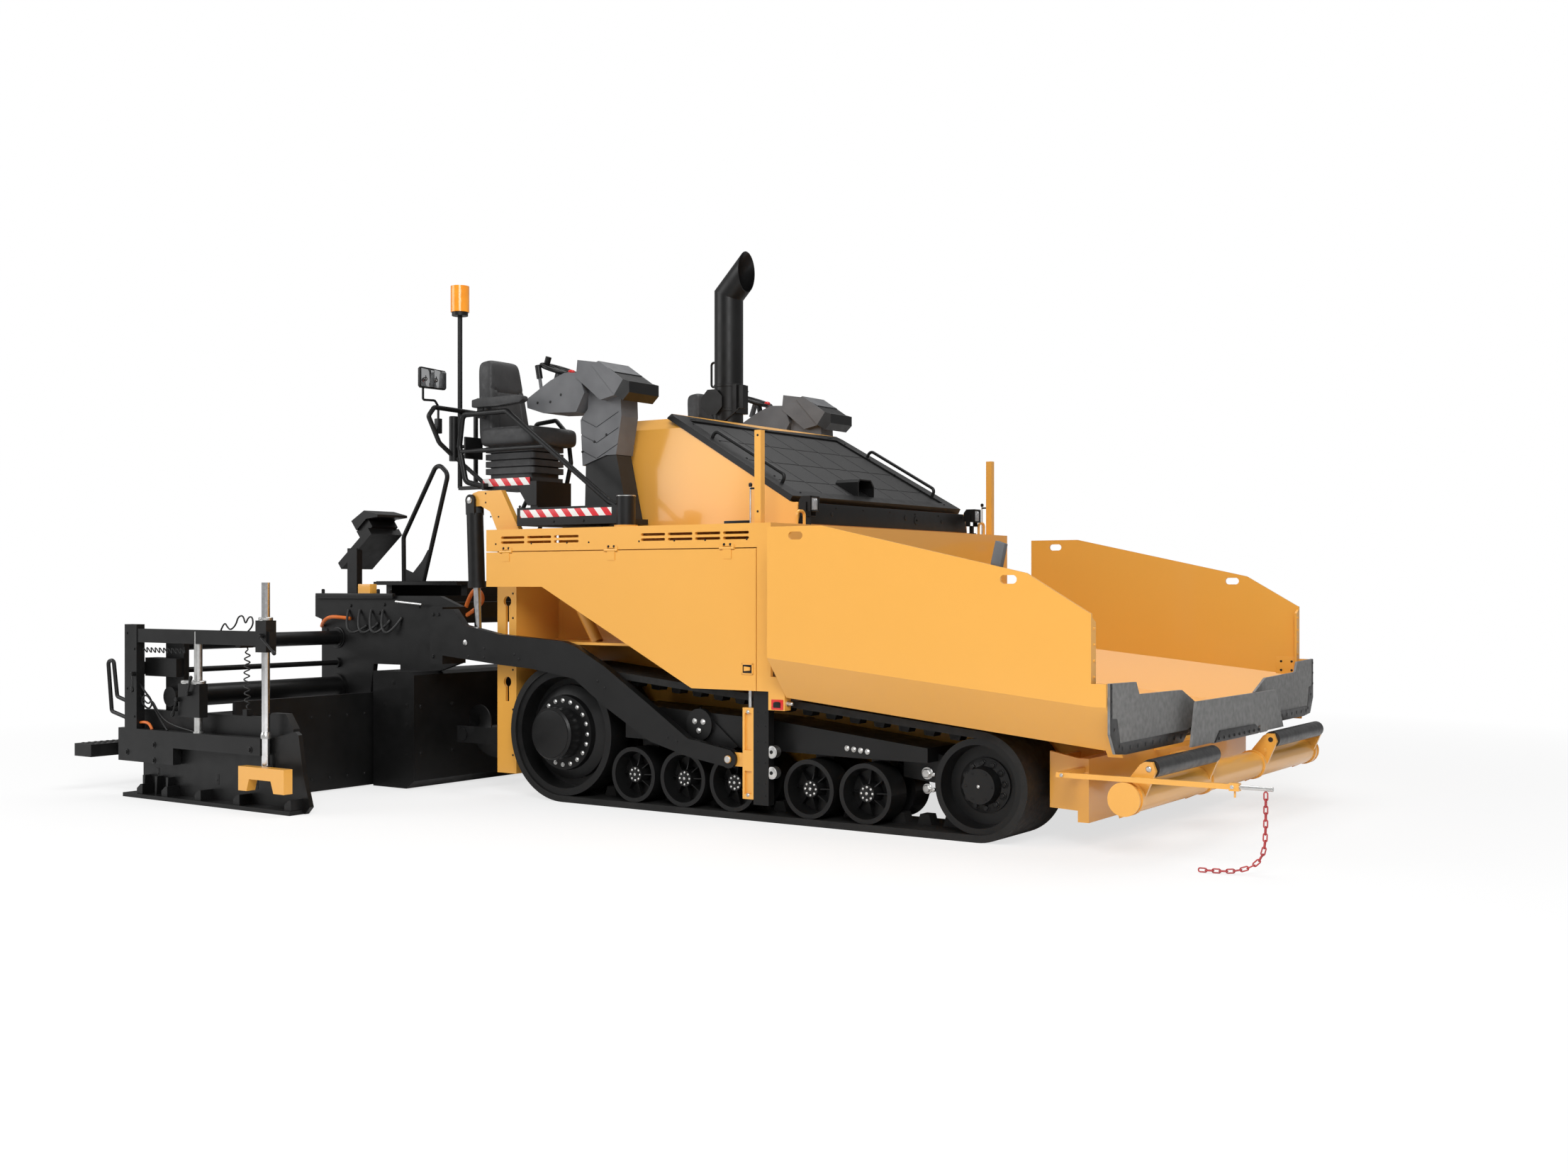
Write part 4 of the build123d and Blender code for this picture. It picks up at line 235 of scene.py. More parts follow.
class Piece:
    """One visible piece made of several closed shapes, which moves with one body."""

    def __init__(self, name, body, slot, finish=None):
        self.name, self.body, self.slot = name, body, slot
        self.finish = finish or MATERIALS[slot]
        self.shape = bmesh.new()

    def solid(self, points, faces, edge=0.0):
        """A closed shape, its edges rounded by the given amount."""
        corners = [self.shape.verts.new(Vector(point) * MM) for point in points]
        made = [self.shape.faces.new([corners[number] for number in face]) for face in faces]
        if edge:
            edges = {side for face in made for side in face.edges}
            bmesh.ops.bevel(self.shape, geom=list(edges), offset=edge * MM, segments=2, profile=0.6,
                            affect="EDGES")

    def plate(self, axis, low, high, outline, edge=1.0):
        """A plate across an axis; its outline has the two other coordinates in the order x, y, z."""
        low, high = sorted((low, high))
        count = len(outline)
        points = []
        for depth in (low, high):
            for pair in outline:
                spot = list(pair)
                spot.insert("XYZ".index(axis), depth)
                points.append(spot)
        faces = [tuple(reversed(range(count))), tuple(range(count, 2 * count))]
        for number in range(count):
            after = (number + 1) % count
            faces.append((number, after, count + after, count + number))
        self.solid(points, faces, edge)

    def block(self, x0, x1, y0, y1, z0, z1, edge=1.5):
        """A block with rounded edges."""
        self.plate("Z", z0, z1, [(x0, y0), (x1, y0), (x1, y1), (x0, y1)], edge)

    def turned(self, at, axis, profile, sides=16):
        """A shape turned about an axis; the profile has (distance along, radius) from end to end."""
        turn = Vector(axis).to_track_quat("Z", "Y").to_matrix()
        points, faces = [], []
        for along, radius in profile:
            for number in range(sides):
                angle = 2 * math.pi * number / sides
                spot = Vector((radius * math.cos(angle), radius * math.sin(angle), along))
                points.append(Vector(at) + turn @ spot)
        for row in range(len(profile) - 1):
            for number in range(sides):
                after = (number + 1) % sides
                faces.append((row * sides + number, row * sides + after, (row + 1) * sides + after,
                              (row + 1) * sides + number))
        faces.append(tuple(reversed(range(sides))))
        faces.append(tuple(range((len(profile) - 1) * sides, len(profile) * sides)))
        self.solid(points, faces)

    def bolt(self, at, axis, radius):
        """A washer under a chamfered hexagonal head."""
        washer = 1.35 * radius
        self.turned(at, axis, ((-1, washer), (0.18 * radius, washer), (0.25 * radius, 1.25 * radius)))
        self.turned(at, axis, ((0, radius), (0.7 * radius, radius), (0.82 * radius, 0.84 * radius)), 6)

    def flat_bolt(self, at, axis, radius):
        """A low round head on a washer, for faces that other pieces pass closely."""
        washer = 1.5 * radius
        self.turned(at, axis, ((-1, washer), (1, washer), (1.4, radius), (2.4, radius), (2.9, 0.8 * radius)))

    def bolt_ring(self, at, axis, ring, count, radius, start=0.0):
        """Bolts on a circle about an axis along Y."""
        for number in range(count):
            angle = start + 2 * math.pi * number / count
            spot = (at[0] + ring * math.cos(angle), at[1], at[2] + ring * math.sin(angle))
            self.bolt(spot, axis, radius)

    def pipe(self, points, radius, straight=False):
        """A round pipe along the points: smooth, or straight runs with rounded corners."""
        line = smooth_line("pipe", with_bends(points) if straight else points)
        line.data.bevel_depth = radius * MM
        line.data.bevel_resolution = 3
        line.data.use_fill_caps = True
        made = bpy.data.meshes.new_from_object(line)
        self.shape.from_mesh(made)
        bpy.data.meshes.remove(made)
        bpy.data.objects.remove(line)

    def place(self):
        """Makes the object and lets it ride on its body."""
        bmesh.ops.recalc_face_normals(self.shape, faces=self.shape.faces)
        data = bpy.data.meshes.new(self.name)
        self.shape.to_mesh(data)
        self.shape.free()
        data.shade_smooth()
        data.set_sharp_from_angle(angle=math.radians(SHARP_ANGLE))
        data.materials.append(self.finish)
        made = bpy.data.objects.new(self.name, data)
        bpy.context.collection.objects.link(made)
        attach(made, self.body)
        return made


def with_bends(points):
    """The points with a bend of at most 30 mm at each inner one."""
    rows = [Vector(points[0])]
    for before, here, after in zip(points, points[1:], points[2:]):
        here = Vector(here)
        for other in (before, after):
            away = Vector(other) - here
            rows.append(here + away.normalized() * min(30, away.length * 0.45))
        rows.insert(-1, here)
    return rows + [Vector(points[-1])]


def smooth_line(name, points):
    """A curve of one open NURBS spline through the points in millimetres."""
    data = bpy.data.curves.new(name, "CURVE")
    data.dimensions = "3D"
    data.resolution_u = 8
    spline = data.splines.new("NURBS")
    spline.points.add(len(points) - 1)
    for spot, point in zip(spline.points, points):
        spot.co = (*(Vector(point) * MM), 1)
    spline.order_u = 3
    spline.use_endpoint_u = True
    return bpy.data.objects.new(name, data)


def points_along(line):
    """The points of a bare curve, in metres."""
    made = bpy.data.meshes.new_from_object(line)
    spots = [vertex.co.copy() for vertex in made.vertices]
    bpy.data.meshes.remove(made)
    return spots


def even_steps(spots, step, left=0.0):
    """Points at equal steps along a line of points, the first after left, with the direction at each."""
    rows = []
    for start, end in zip(spots, spots[1:]):
        run = end - start
        while left <= run.length:
            rows.append((start + run.normalized() * left, run.normalized()))
            left += step
        left -= run.length
    return rows


def run_length(spots):
    """The length of a line of points."""
    return sum((end - start).length for start, end in zip(spots, spots[1:]))


# Camera and cords

def make_camera():
    """The camera at the photograph's place."""
    data = bpy.data.cameras.new("camera")
    data.sensor_width = SENSOR_MM
    data.lens = FOCAL_PX / IMAGE_W * SENSOR_MM
    data.clip_end = 200
    camera = bpy.data.objects.new("camera", data)
    bpy.context.collection.objects.link(camera)
    turn, tilt = math.radians(CAMERA_HEADING), math.radians(CAMERA_PITCH)
    aim = Vector((-math.sin(turn) * math.cos(tilt), math.cos(turn) * math.cos(tilt), math.sin(tilt)))
    camera.location = CAMERA_AT
    camera.rotation_euler = aim.to_track_quat("-Z", "Y").to_euler()
    bpy.context.scene.camera = camera


def make_chain():
    """The red chain: round-wire links along the route, each a quarter turn from the last."""
    wire, half_w, pitch, lap = 3.6, 9.0, 33.0, 3.4
    sides, around = 28, 8
    line = smooth_line("chain_line", CHAIN_ROUTE)
    spots = points_along(line)
    bpy.data.objects.remove(line)
    piece = Piece("chain_links", "tractor", "red_paint")
    reach = pitch / 2 + wire * 2
    run_mm = run_length(spots) / MM - 2 * reach
    gap = run_mm / round(run_mm / pitch) - 0.01
    for number, (at, run) in enumerate(even_steps(spots, gap * MM, reach * MM)[:round(run_mm / pitch) + 1]):
        across = run.cross(Vector((0, 1, 0))).normalized()
        third = run.cross(across)
        if number % 2:
            across, third = third, -across
        points, faces = [], []
        for step in range(sides):
            angle = 2 * math.pi * (step + 0.5) / sides
            straight = (pitch / 2 - half_w + lap) * (1 if math.cos(angle) > 0 else -1)
            middle = run * (straight + half_w * math.cos(angle)) + across * (half_w * math.sin(angle))
            out = run * math.cos(angle) + across * math.sin(angle)
            for turn in range(around):
                small = 2 * math.pi * turn / around
                points.append(at / MM + middle + out * (wire * math.cos(small)) +
                              third * (wire * math.sin(small)))
                after, other = (step + 1) % sides, (turn + 1) % around
                faces.append((step * around + turn, after * around + turn, after * around + other,
                              step * around + other))
        piece.solid(points, faces)
    chain = piece.place()
    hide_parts("guide_chain")


def make_coiled_cables():
    """The two coiled cables that hang from the rails down to their sockets."""
    turns, coil_r, wire_r, steps = 9, 16.5, 4.4, 14
    for side, sign in SIDES:
        line = smooth_line("cable_line", [(CORD_X + x, sign * CORD_Y, z) for x, z in CORD_ROUTE])
        spots = points_along(line)
        bpy.data.objects.remove(line)
        rows = even_steps(spots, run_length(spots) / (turns * steps))
        coil = []
        for number, (at, _) in enumerate(rows):
            angle = 2 * math.pi * number / steps
            grown = min(1.0, number / steps, (len(rows) - 1 - number) / steps)
            coil.append(at / MM + Vector((math.cos(angle), math.sin(angle), 0)) * coil_r * grown)
        cable = smooth_line(f"coiled_cable_{side}", coil)
        length = run_length(points_along(cable))
        cable.data.bevel_depth = wire_r * MM
        cable.data.bevel_resolution = 3
        cable.data.use_fill_caps = True
        cable.data.materials.append(MATERIALS["cord_black"])
        bpy.context.collection.objects.link(cable)
        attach(cable, f"extender_{side}")
        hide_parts(f"curly_cord_{side}")


# Tractor fittings

def dress_wheels():
    """Bolts, plugs and caps of the wheels, and the light fittings on the track frames."""
    light = Piece("wheel_bolts", "tractor", "chrome", ZINC)
    dark = Piece("wheel_caps", "tractor", "black_paint")
    for _, sign in SIDES:
        out = (0, sign, 0)
        for x in BOGIE_XS:
            hub = (x, sign * HUB_Y, BOGIE_Z)
            light.bolt_ring(hub, out, ring=36, count=8, radius=5)
            light.turned(hub, out, ((-1, 9), (5, 9), (7, 6)), 12)
            dark.turned(hub, out, ((-1, 25), (3, 25), (4, 22)), 24)
        light.bolt_ring((DRIVE_X, sign * DRIVE_FACE_Y, DRIVE_Z), out, ring=203, count=20, radius=11)
        dark.turned((DRIVE_X, sign * DRIVE_CAP_Y, DRIVE_Z), out, ((-1, 148), (2, 148), (3, 144)), 48)
        idler_cap = (IDLER_X, sign * IDLER_CAP_Y, IDLER_Z)
        dark.bolt_ring((IDLER_X, sign * IDLER_COLLAR_Y, IDLER_Z), out, ring=121, count=12, radius=15, start=0.1)
        dark.bolt_ring(idler_cap, out, ring=78, count=6, radius=6)
        light.turned(idler_cap, out, ((-1, 9), (6, 9), (9, 5)), 12)
        light.bolt_ring((GEARBOX_X, sign * GEARBOX_Y, GEARBOX_Z), out, ring=36, count=3, radius=13, start=0.5)
        for z, radius in ((329, 27), (243, 22)):
            light.bolt((1893, sign * FRAME_ARM_Y, z), out, radius)
            light.turned((1935, sign * FRAME_ARM_Y, z - 4), out, ((-1, 12), (16, 12), (18, 9)), 12)
        for number in range(4):
            light.bolt((1440 + 45 * number, sign * FRAME_FACE_Y, 452 - 4 * number), out, 12)
        marker_pin = ((-1, 17), (4, 17), (5, 12), (34, 12), (38, 9))
        light.turned((1124, sign * 1468, 699), (1, 0, 0), marker_pin, 20)
    light.place()
    dark.place()


def dress_panels():
    """Door latches, hinge bolts, deck covers, stays and the small markers on the sides."""
    black = Piece("panel_bolts", "tractor", "black_paint")
    red = Piece("side_markers", "tractor", "red_paint", SIGNAL_RED)
    light = Piece("post_stays", "tractor", "chrome", ZINC)
    hinge_xs, hinge_z = (-1040, -160, 720), 1612
    vent_bolt_xs, vent_bolt_z = (-1130, -820, -520, -340, 60, 330, 560, 860), 1640
    cover = ((640, 1395), (655, 1380), (800, 1380), (818, 1395), (818, 1425), (640, 1425))
    lens = ((1050, 676), (1098, 676), (1098, 706), (1084, 710), (1064, 710), (1050, 704))
    stay_x, stay_y, stay_top = 851, 1450, 1955
    for _, sign in SIDES:
        face, out = sign * DOOR_Y, (0, sign, 0)
        for x in hinge_xs:
            for step in (-22, 22):
                black.bolt((x + step, face, hinge_z), out, 6)
        for x in vent_bolt_xs:
            black.bolt((x, face, vent_bolt_z), out, 4.5)
        black.plate("Z", DECK_Z - 1, DECK_Z + 20, [(x, sign * y) for x, y in cover], 5)
        red.plate("Y", face - sign, face + 3 * sign, rectangle(1034, 1115, 664, 722))
        black.plate("Y", face + 2 * sign, face + 8 * sign, lens, 1.5)
        stay = sign * stay_y
        light.pipe([(stay_x, stay, DECK_Z - 2), (stay_x, stay, 1840), (stay_x, stay, stay_top)], 5)
        black.turned((stay_x, stay, stay_top - 10), (0, 0, 1), ((0, 8), (4, 11), (18, 11), (24, 5)), 14)
        black.turned((stay_x + 7, stay, stay_top - 20), (1, 0, 0), ((-8, 6), (34, 6), (35, 5)), 10)
        for z in (2240, 1800):
            black.turned((916, sign * 1470, z), out, ((-1, 7), (1.2, 7), (1.6, 5)), 14)
    for side, sign in SIDES:
        dress_door(side, sign, sign * DOOR_Y)
    for piece in (black, red, light):
        piece.place()


def dress_door(side, sign, face):
    """The recessed latch of a side door: a rim, a black plate and the handle."""
    x0, x1, z0, z1, rim = 826, 906, 859, 923, 8
    latch = Piece(f"latch_frame_{side}", f"side_door_{side}", "yellow_paint")
    for outline in (rectangle(x0, x1, z0, z0 + rim), rectangle(x0, x1, z1 - rim, z1),
                    rectangle(x0, x0 + rim, z0, z1), rectangle(x1 - rim, x1, z0, z1)):
        latch.plate("Y", face - sign, face + 6 * sign, outline, 2)
    latch.plate("Y", face + sign, face + 12 * sign, [(846, 878), (888, 882), (888, 902), (846, 906)], 3)
    latch.place()
    back = Piece(f"latch_plate_{side}", f"side_door_{side}", "black_paint")
    back.plate("Y", face - sign, face + 2 * sign, rectangle(832, 900, 865, 917))
    back.place()


def on_slope(along, y, off):
    """A point over the hood's slope: the run from the crest, the side and the height over it."""
    run = Vector((TOE[0] - CREST[0], TOE[1] - CREST[1])).normalized()
    return (CREST[0] + run.x * along - run.y * off, y, CREST[1] + run.y * along + run.x * off)


def over_slope(x, z):
    """Height of a point over the plane of the hood's slope."""
    run = Vector((TOE[0] - CREST[0], TOE[1] - CREST[1])).normalized()
    return -run.y * (x - CREST[0]) + run.x * (z - CREST[1])


def dress_hood():
    """The hood's black front panel with its plugs and bolts."""
    front = Piece("hood_front_panel", "tractor", "black_paint")
    front.plate("X", 922, 932, [(-1062, 1745), (1062, 1745), (1034, 1838), (1004, 1872), (-1004, 1872),
                                (-1034, 1838)], 4)
    for y, z, radius in ((205, 1821, 20), (349, 1808, 33), (696, 1811, 14), (-700, 1811, 14)):
        front.turned((931, y, z), (1, 0, 0), ((-1, radius), (3, radius), (5, radius - 3)), 28)
    front.bolt((936, 349, 1808), (1, 0, 0), 7)
    for y in (-980, -650, -330, 0, 330, 650, 980):
        front.bolt((932, y, 1848), (1, 0, 0), 5)
    front.place()


def dress_lamps():
    """The work lamps' ribbed glasses with their bezels, and the grommets beside the hood."""
    glass = Piece("lamp_glasses", "tractor", "chrome", GLASS)
    bezel = Piece("lamp_bezels", "tractor", "black_paint")
    glass_x, low_z, high_z, rim = 1018, 1822, 1895, 8
    for _, sign in SIDES:
        low, high = sorted((sign * 1000, sign * 1076))
        glass.plate("X", glass_x, glass_x + 6, rectangle(low, high, low_z, high_z), 2)
        for number in range(5):
            y = low + 14 + 12 * number
            glass.plate("X", glass_x + 4, glass_x + 7.5, rectangle(y - 4, y + 4, low_z + 4, high_z - 4))
        y0, y1, z0, z1 = low - rim, high + rim, low_z - 10, high_z + 10
        for outline in (rectangle(y0, y1, z0, low_z), rectangle(y0, y1, high_z, z1),
                        rectangle(y0, low + 1, z0, z1), rectangle(high - 1, y1, z0, z1)):
            bezel.plate("X", glass_x + 3, glass_x + 13, outline, 2)
        for number in range(3):
            at = (-560 + 26 * number, sign * 1118, DECK_Z - 1)
            bezel.turned(at, (0, 0, 1), ((0, 10), (16, 10), (24, 6)), 12)
    glass.place()
    bezel.place()


def dress_grille():
    """Seams of the grille's mesh, the bolts of its rim and its two further finishes."""
    seams = Piece("grille_seams", "hood_grille", "black_paint")
    length = math.dist(CREST, TOE)
    end, mesh_half_w, mesh_face, rim_face = 95, 870, 24, 37
    for y in (-585, -292, 0, 292, 585):
        seams.pipe([on_slope(along, y, mesh_face) for along in (end, length / 2, length - end)], 3)
    for along in (350, 620, 890):
        seams.pipe([on_slope(along, y, mesh_face) for y in (-mesh_half_w, 0, mesh_half_w)], 2.5)
    upward = Vector(on_slope(0, 0, 1)) - Vector(on_slope(0, 0, 0))
    for y in (-905, 905):
        for along in (150, 390, 630, 870, 1090):
            seams.bolt(on_slope(along, y, rim_face), upward, 6)
    seams.place()
    paint_faces("hood_grille", MESH, lambda x, y, z: y < mesh_half_w + 4 and 17 < over_slope(x, z) < 25)
    leaf_half, outer_leaf_y = 31, 814
    paint_faces("hood_grille", MATERIALS["yellow_paint"],
                lambda x, y, z: x < -60 and z > 2400 and (y < leaf_half or abs(y - outer_leaf_y) < leaf_half))


def dress_exhaust():
    """Bands round the exhaust stack and the cable at its foot."""
    piece = Piece("exhaust_bands", "tractor", "black_paint")
    for z in (2470, 2575, 2745):
        piece.turned((-365, 0, z), (0, 0, 1), ((0, 101.5), (2, 104), (20, 104), (22, 101.5)), 48)
    cable = [(-430, -108, 2550), (-400, -112, 2480), (-330, -112, 2500), (-262, -80, 2560), (-240, -50, 2600)]
    piece.pipe(cable, 5)
    piece.place()


def dress_tow_points():
    """Bolts and white rollers of the tow guides, and the tow pins."""
    white = Piece("guide_roller_faces", "tractor", "chrome", ZINC)
    dark = Piece("guide_plate_bolts", "tractor", "black_paint")
    pins = Piece("tow_slider_bolts", "tow_sliders", "chrome", ZINC)
    rows = [(x, z) for z in (640, 560, 470, 350, 230) for x in (905, 960)]
    rows += [(960, 160), (905, 880), (960, 880), (905, 1020)]
    for _, sign in SIDES:
        out, face = (0, sign, 0), sign * GUIDE_FACE_Y
        for z in (415, 295):
            white.turned((1004, sign * 1456, z), out, ((-1, 30), (2, 30), (3, 27)), 32)
            dark.turned((1004, sign * 1458, z), out, ((0, 11), (3, 11), (4, 8)), 16)
        for x, z in rows:
            dark.turned((x, face, z), out, ((-1, 6), (1.5, 6), (2, 4.5)), 12)
        pins.turned((701, sign * 1472, 357), out, ((-1, 20), (3, 20), (5, 17)), 28)
        for z in (640, 158):
            pins.bolt((840, face, z), out, 8)
    for piece in (white, dark, pins):
        piece.place()
    paint_faces("tow_sliders", ZINC, lambda x, y, z: z > 665)
    paint_faces("tow_guides", ZINC, lambda x, y, z: x > 990 and z < 470)


def dress_columns():
    """Bolts of the rear columns, and the lift brackets' pins, with black discs in place of the brackets' holes
    as painted shade.
    """
    dark = Piece("column_bolts", "tractor", "black_paint")
    light = Piece("bracket_pins", "tractor", "chrome", ZINC)
    for _, sign in SIDES:
        out = (0, sign, 0)
        for z in (1320, 1160, 960, 820, 560, 420, 260):
            dark.turned((-1160, sign * COLUMN_FACE_Y, z), out, ((-1, 7), (2, 7), (3, 5)), 12)
        # black discs where the brackets' holes are: painted shade in place of open holes
        for x, z in ((-1353, 1980), (-1353, 1921), (-1306, 1826), (-1236, 1824)):
            dark.turned((x, sign * 1365, z), out, ((-1, 6), (1.5, 6), (2, 4)), 12)
        light.turned((-1475, sign * 1392, 1937), out, ((-1, 22), (4, 22), (7, 17)), 28)
    dark.place()
    light.place()


# Hopper and front beam

def dress_wing(side, sign):
    """Bolts of a hopper wing's front flange, its bracket, and its flap's rubber strip."""
    body, forward = f"hopper_wing_{side}", (1, 0, 0)
    bolts = Piece(f"wing_bolts_{side}", body, "yellow_paint")
    for z in (1160, 1080, 1000, 920, 840):
        bolts.bolt((3075, sign * 1652, z), forward, 7)
    bolts.plate("Y", sign * 1669, sign * 1675, rectangle(2925, 3055, 785, 900), 2)
    bolts.place()
    dots = Piece(f"wing_dots_{side}", body, "black_paint")
    for z in (870, 812):
        for x in (2960, 3030):
            dots.turned((x, sign * 1669, z), (0, -sign, 0), ((-1, 8), (2, 8), (3, 6)), 12)
    dots.place()
    rubber = Piece(f"flap_strip_{side}", body, "roller_black")
    strip = ((1672, 889), (1650, 889), (1650, 715), (1588, 712), (1552, 590), (620, 590), (582, 600),
             (692, 529), (1476, 529), (1607, 540), (1672, 640))
    back_x, face_x = 3167, 3170.5
    rubber.plate("X", back_x, face_x, [(sign * y, z) for y, z in strip])
    for y in range(720, 1521, 100):
        rubber.flat_bolt((face_x, sign * y, 560), forward, 9)
    for y, z in ((1560, 575), (1625, 660), (1661, 730), (1661, 800), (1661, 865)):
        rubber.flat_bolt((face_x, sign * y, z), forward, 7)
    rubber.place()


def dress_hopper():
    """The wings' fittings, the feed sensor and the apron's rubber strip."""
    for side, sign in SIDES:
        dress_wing(side, sign)
    sensor = Piece("feed_sensor", "hopper_wing_right", "grey_plastic")
    sensor.plate("Y", -1674, -1634, [(2505, 1440), (2562, 1430), (2596, 1584), (2543, 1602)], 5)
    sensor.bolt((2556, -1634, 1540), (0, 1, 0), 8)
    sensor.place()
    strip = Piece("apron_strip", "apron", "roller_black")
    strip.plate("X", 3256, 3266, [(-453, 512), (-372, 572), (222, 566), (330, 512)], 2)
    for number in range(9):
        strip.bolt((3266, -400 + 85 * number, 532), (1, 0, 0), 8)
    strip.place()


def dress_front_beam():
    """Bolts of the push beam, light ends of the roller pins and the guide rod's bolts."""
    bolts = Piece("push_beam_bolts", "push_beam", "yellow_paint")
    for _, sign in SIDES:
        bolts.bolt((3250, sign * 437, 400), (1, 0, 0), 8)
        bolts.turned((3180, sign * 484, 360), (0, sign, 0), ((0, 8), (26, 8), (27, 6)), 12)
    bolts.place()
    for side, sign in SIDES:
        pins = Piece(f"roller_pin_caps_{side}", f"push_roller_{side}", "chrome", ZINC)
        pins.turned((3268, sign * 1425, 456), (0, sign, 0), ((0, 14), (4, 14), (6, 11)), 24)
        pins.place()
    clamp = Piece("guide_rod_clamps", "tractor", "chrome", ZINC)
    for x in (2838, 3722):
        clamp.bolt((x, -1519, 408), (0, -1, 0), 7)
    clamp.place()
    paint_faces("guide_rod", ZINC, lambda x, y, z: x > 3756)


# Operator stations

def pad(name, body, spot, turn, at):
    """A stuffed pad: spot gives the place of a pair from -1 to 1 on its front or its back."""
    steps = 60
    piece = Piece(name, body, "seat_cover")

    def eased(number):
        return math.sin(math.pi / 2 * (2 * number / steps - 1))

    for front in (True, False):
        grid = [[piece.shape.verts.new((at + turn @ spot(eased(i), eased(j), front)) * MM)
                 for j in range(steps + 1)] for i in range(steps + 1)]
        for i in range(steps):
            for j in range(steps):
                piece.shape.faces.new((grid[i][j], grid[i + 1][j], grid[i + 1][j + 1], grid[i][j + 1]))
    bmesh.ops.remove_doubles(piece.shape, verts=piece.shape.verts, dist=1e-5)
    made = piece.place()
    made.data.shade_smooth()


def pad_fall(u, v):
    """How full a pad is at a pair: 1 inside, and 0 at its rolled edge."""
    return ((1 - abs(u) ** 14) * (1 - abs(v) ** 14)) ** 0.3


def groove(gap, depth):
    """Depth of a sewn line at a distance from it."""
    return depth * math.exp(-(gap / 0.025) ** 2)


def cushion_spot(u, v, top):
    """The seat cushion: a crowned top with three sewn lines and raised bolsters beside them."""
    half_x, half_y, crown, bolster_from = 240, 226, 12, 0.6
    fall, inward = pad_fall(u, v), 1 - 0.05 * abs(u * v) ** 8
    rise = PAD_HALF_T * fall
    if top:
        rise += (crown * (1 - u * u) * (1 - v * v) + 12 * max(0.0, abs(v) - bolster_from)) * fall
        rise -= (groove(abs(v) - bolster_from, 7) + groove(u + 0.2, 5) + 8 * max(0.0, u - 0.75)) * fall
    return Vector((half_x * u * inward, half_y * v * inward, rise if top else -rise))


def back_spot(u, v, front):
    """The tapered backrest, u from its top to its foot: a sewn yoke, an inner panel and side bolsters."""
    half_h, foot_half_w, top_half_w, crown, bolster_from, yoke = 284, 205, 143, 8, 0.58, -0.22
    fall = pad_fall(u, v)
    rise = PAD_HALF_T * fall
    if front:
        rise += (crown * (1 - u * u) * (1 - v * v)) * fall
        rise -= groove(u - yoke + 0.25 * max(0.0, abs(v) - 0.55), 6) * fall
        if u > yoke - 0.03:
            rise += (10 * max(0.0, abs(v) - bolster_from) - groove(abs(v) - bolster_from, 6)) * fall
    width = foot_half_w + (top_half_w - foot_half_w) * (0.5 - u / 2)
    return Vector((half_h * u * (1 - 0.05 * abs(v) ** 6), width * v * (1 - 0.06 * abs(u * v) ** 8),
                   rise if front else -rise))


def dress_seats():
    """Cushion, back and armrest pads of both seats."""
    armrest = [(-1434, 2546), (-1434, 2598), (-1380, 2605), (-1040, 2609), (-985, 2598), (-978, 2572),
               (-1010, 2556), (-1200, 2546)]
    lean = Matrix.Rotation(math.radians(-7), 3, "Y")
    upright = lean @ Matrix.Rotation(math.radians(90), 3, "Y")
    for side, sign in SIDES:
        body = f"station_{side}"
        middle = Vector((-1177, sign * SEAT_Y, 2350))
        pad(f"seat_cushion_{side}", body, cushion_spot, Matrix.Identity(3), middle)
        middle = lean @ Vector((52, 0, 256)) + Vector((-1440, sign * SEAT_Y, 2335))
        pad(f"seat_back_{side}", body, back_spot, upright, middle)
        rest = Piece(f"armrest_pad_{side}", body, "seat_cover")
        rest.plate("Y", sign * (SEAT_Y + 215), sign * (SEAT_Y + 277), armrest, 11)
        rest.place()


def dress_station_tubes(side, sign):
    """The tubes and the plate behind a seat, with the mirror's arm."""
    x, inner_y, post_y, low_z = -1650, 1158, 1364, 2044
    tubes = Piece(f"station_tubes_{side}", f"station_{side}", "black_paint")
    rail = ((x, inner_y, 2060), (x, inner_y, 2545), (x, 1540, 2552), (x, 1592, 2490), (x, 1496, 2321),
            (-1640, 1400, 2252))
    tubes.pipe(mirrored(sign, *rail), 16, True)
    tubes.turned((x, sign * post_y, 2206), (0, 0, 1), ((0, 28), (2, 30), (296, 30), (300, 27)), 24)
    arm = ((x, 1640, 2680), (x, 1640, 2592), (x, 1535, 2597), (x, 1504, 2560), (x, 1504, 2400))
    tubes.pipe(mirrored(sign, *arm), 8, True)
    tubes.block(-1670, -1630, sign * 1486, sign * 1522, 2380, 2480, 5)
    tubes.pipe(mirrored(sign, (x, post_y, 2240), (-1560, 1330, 2160), (-1430, 1285, low_z)), 14, True)
    tubes.pipe(mirrored(sign, (-1430, inner_y, low_z), (x, inner_y, low_z), (x, inner_y, 2100)), 14, True)
    tubes.block(-1508, -1492, sign * 1250, sign * 1411, 2215, 2359, 3)
    tubes.pipe(mirrored(sign, (-1640, post_y, 2300), (-1500, 1340, 2300)), 12)
    tubes.place()


def dress_mirror(side, sign):
    """A mirror's case and its two panes, which show on both faces."""
    casing = Piece(f"mirror_case_{side}", f"station_{side}", "black_paint")
    rim = ((1439, 2685), (1452, 2672), (1662, 2669), (1675, 2682), (1675, 2796), (1662, 2808), (1452, 2800),
           (1439, 2788))
    casing.plate("X", -1662, -1640, [(sign * y, z) for y, z in rim], 4)
    casing.place()
    glass = Piece(f"mirror_glass_{side}", f"station_{side}", "chrome", MIRROR)
    for y0, y1 in ((1449, 1550), (1556, 1665)):
        pane = [(sign * y0, 2681), (sign * y1, 2679), (sign * y1, 2797), (sign * y0, 2791)]
        for x in (-1663, -1639):
            glass.plate("X", x - 2, x + 2, pane)
    glass.place()


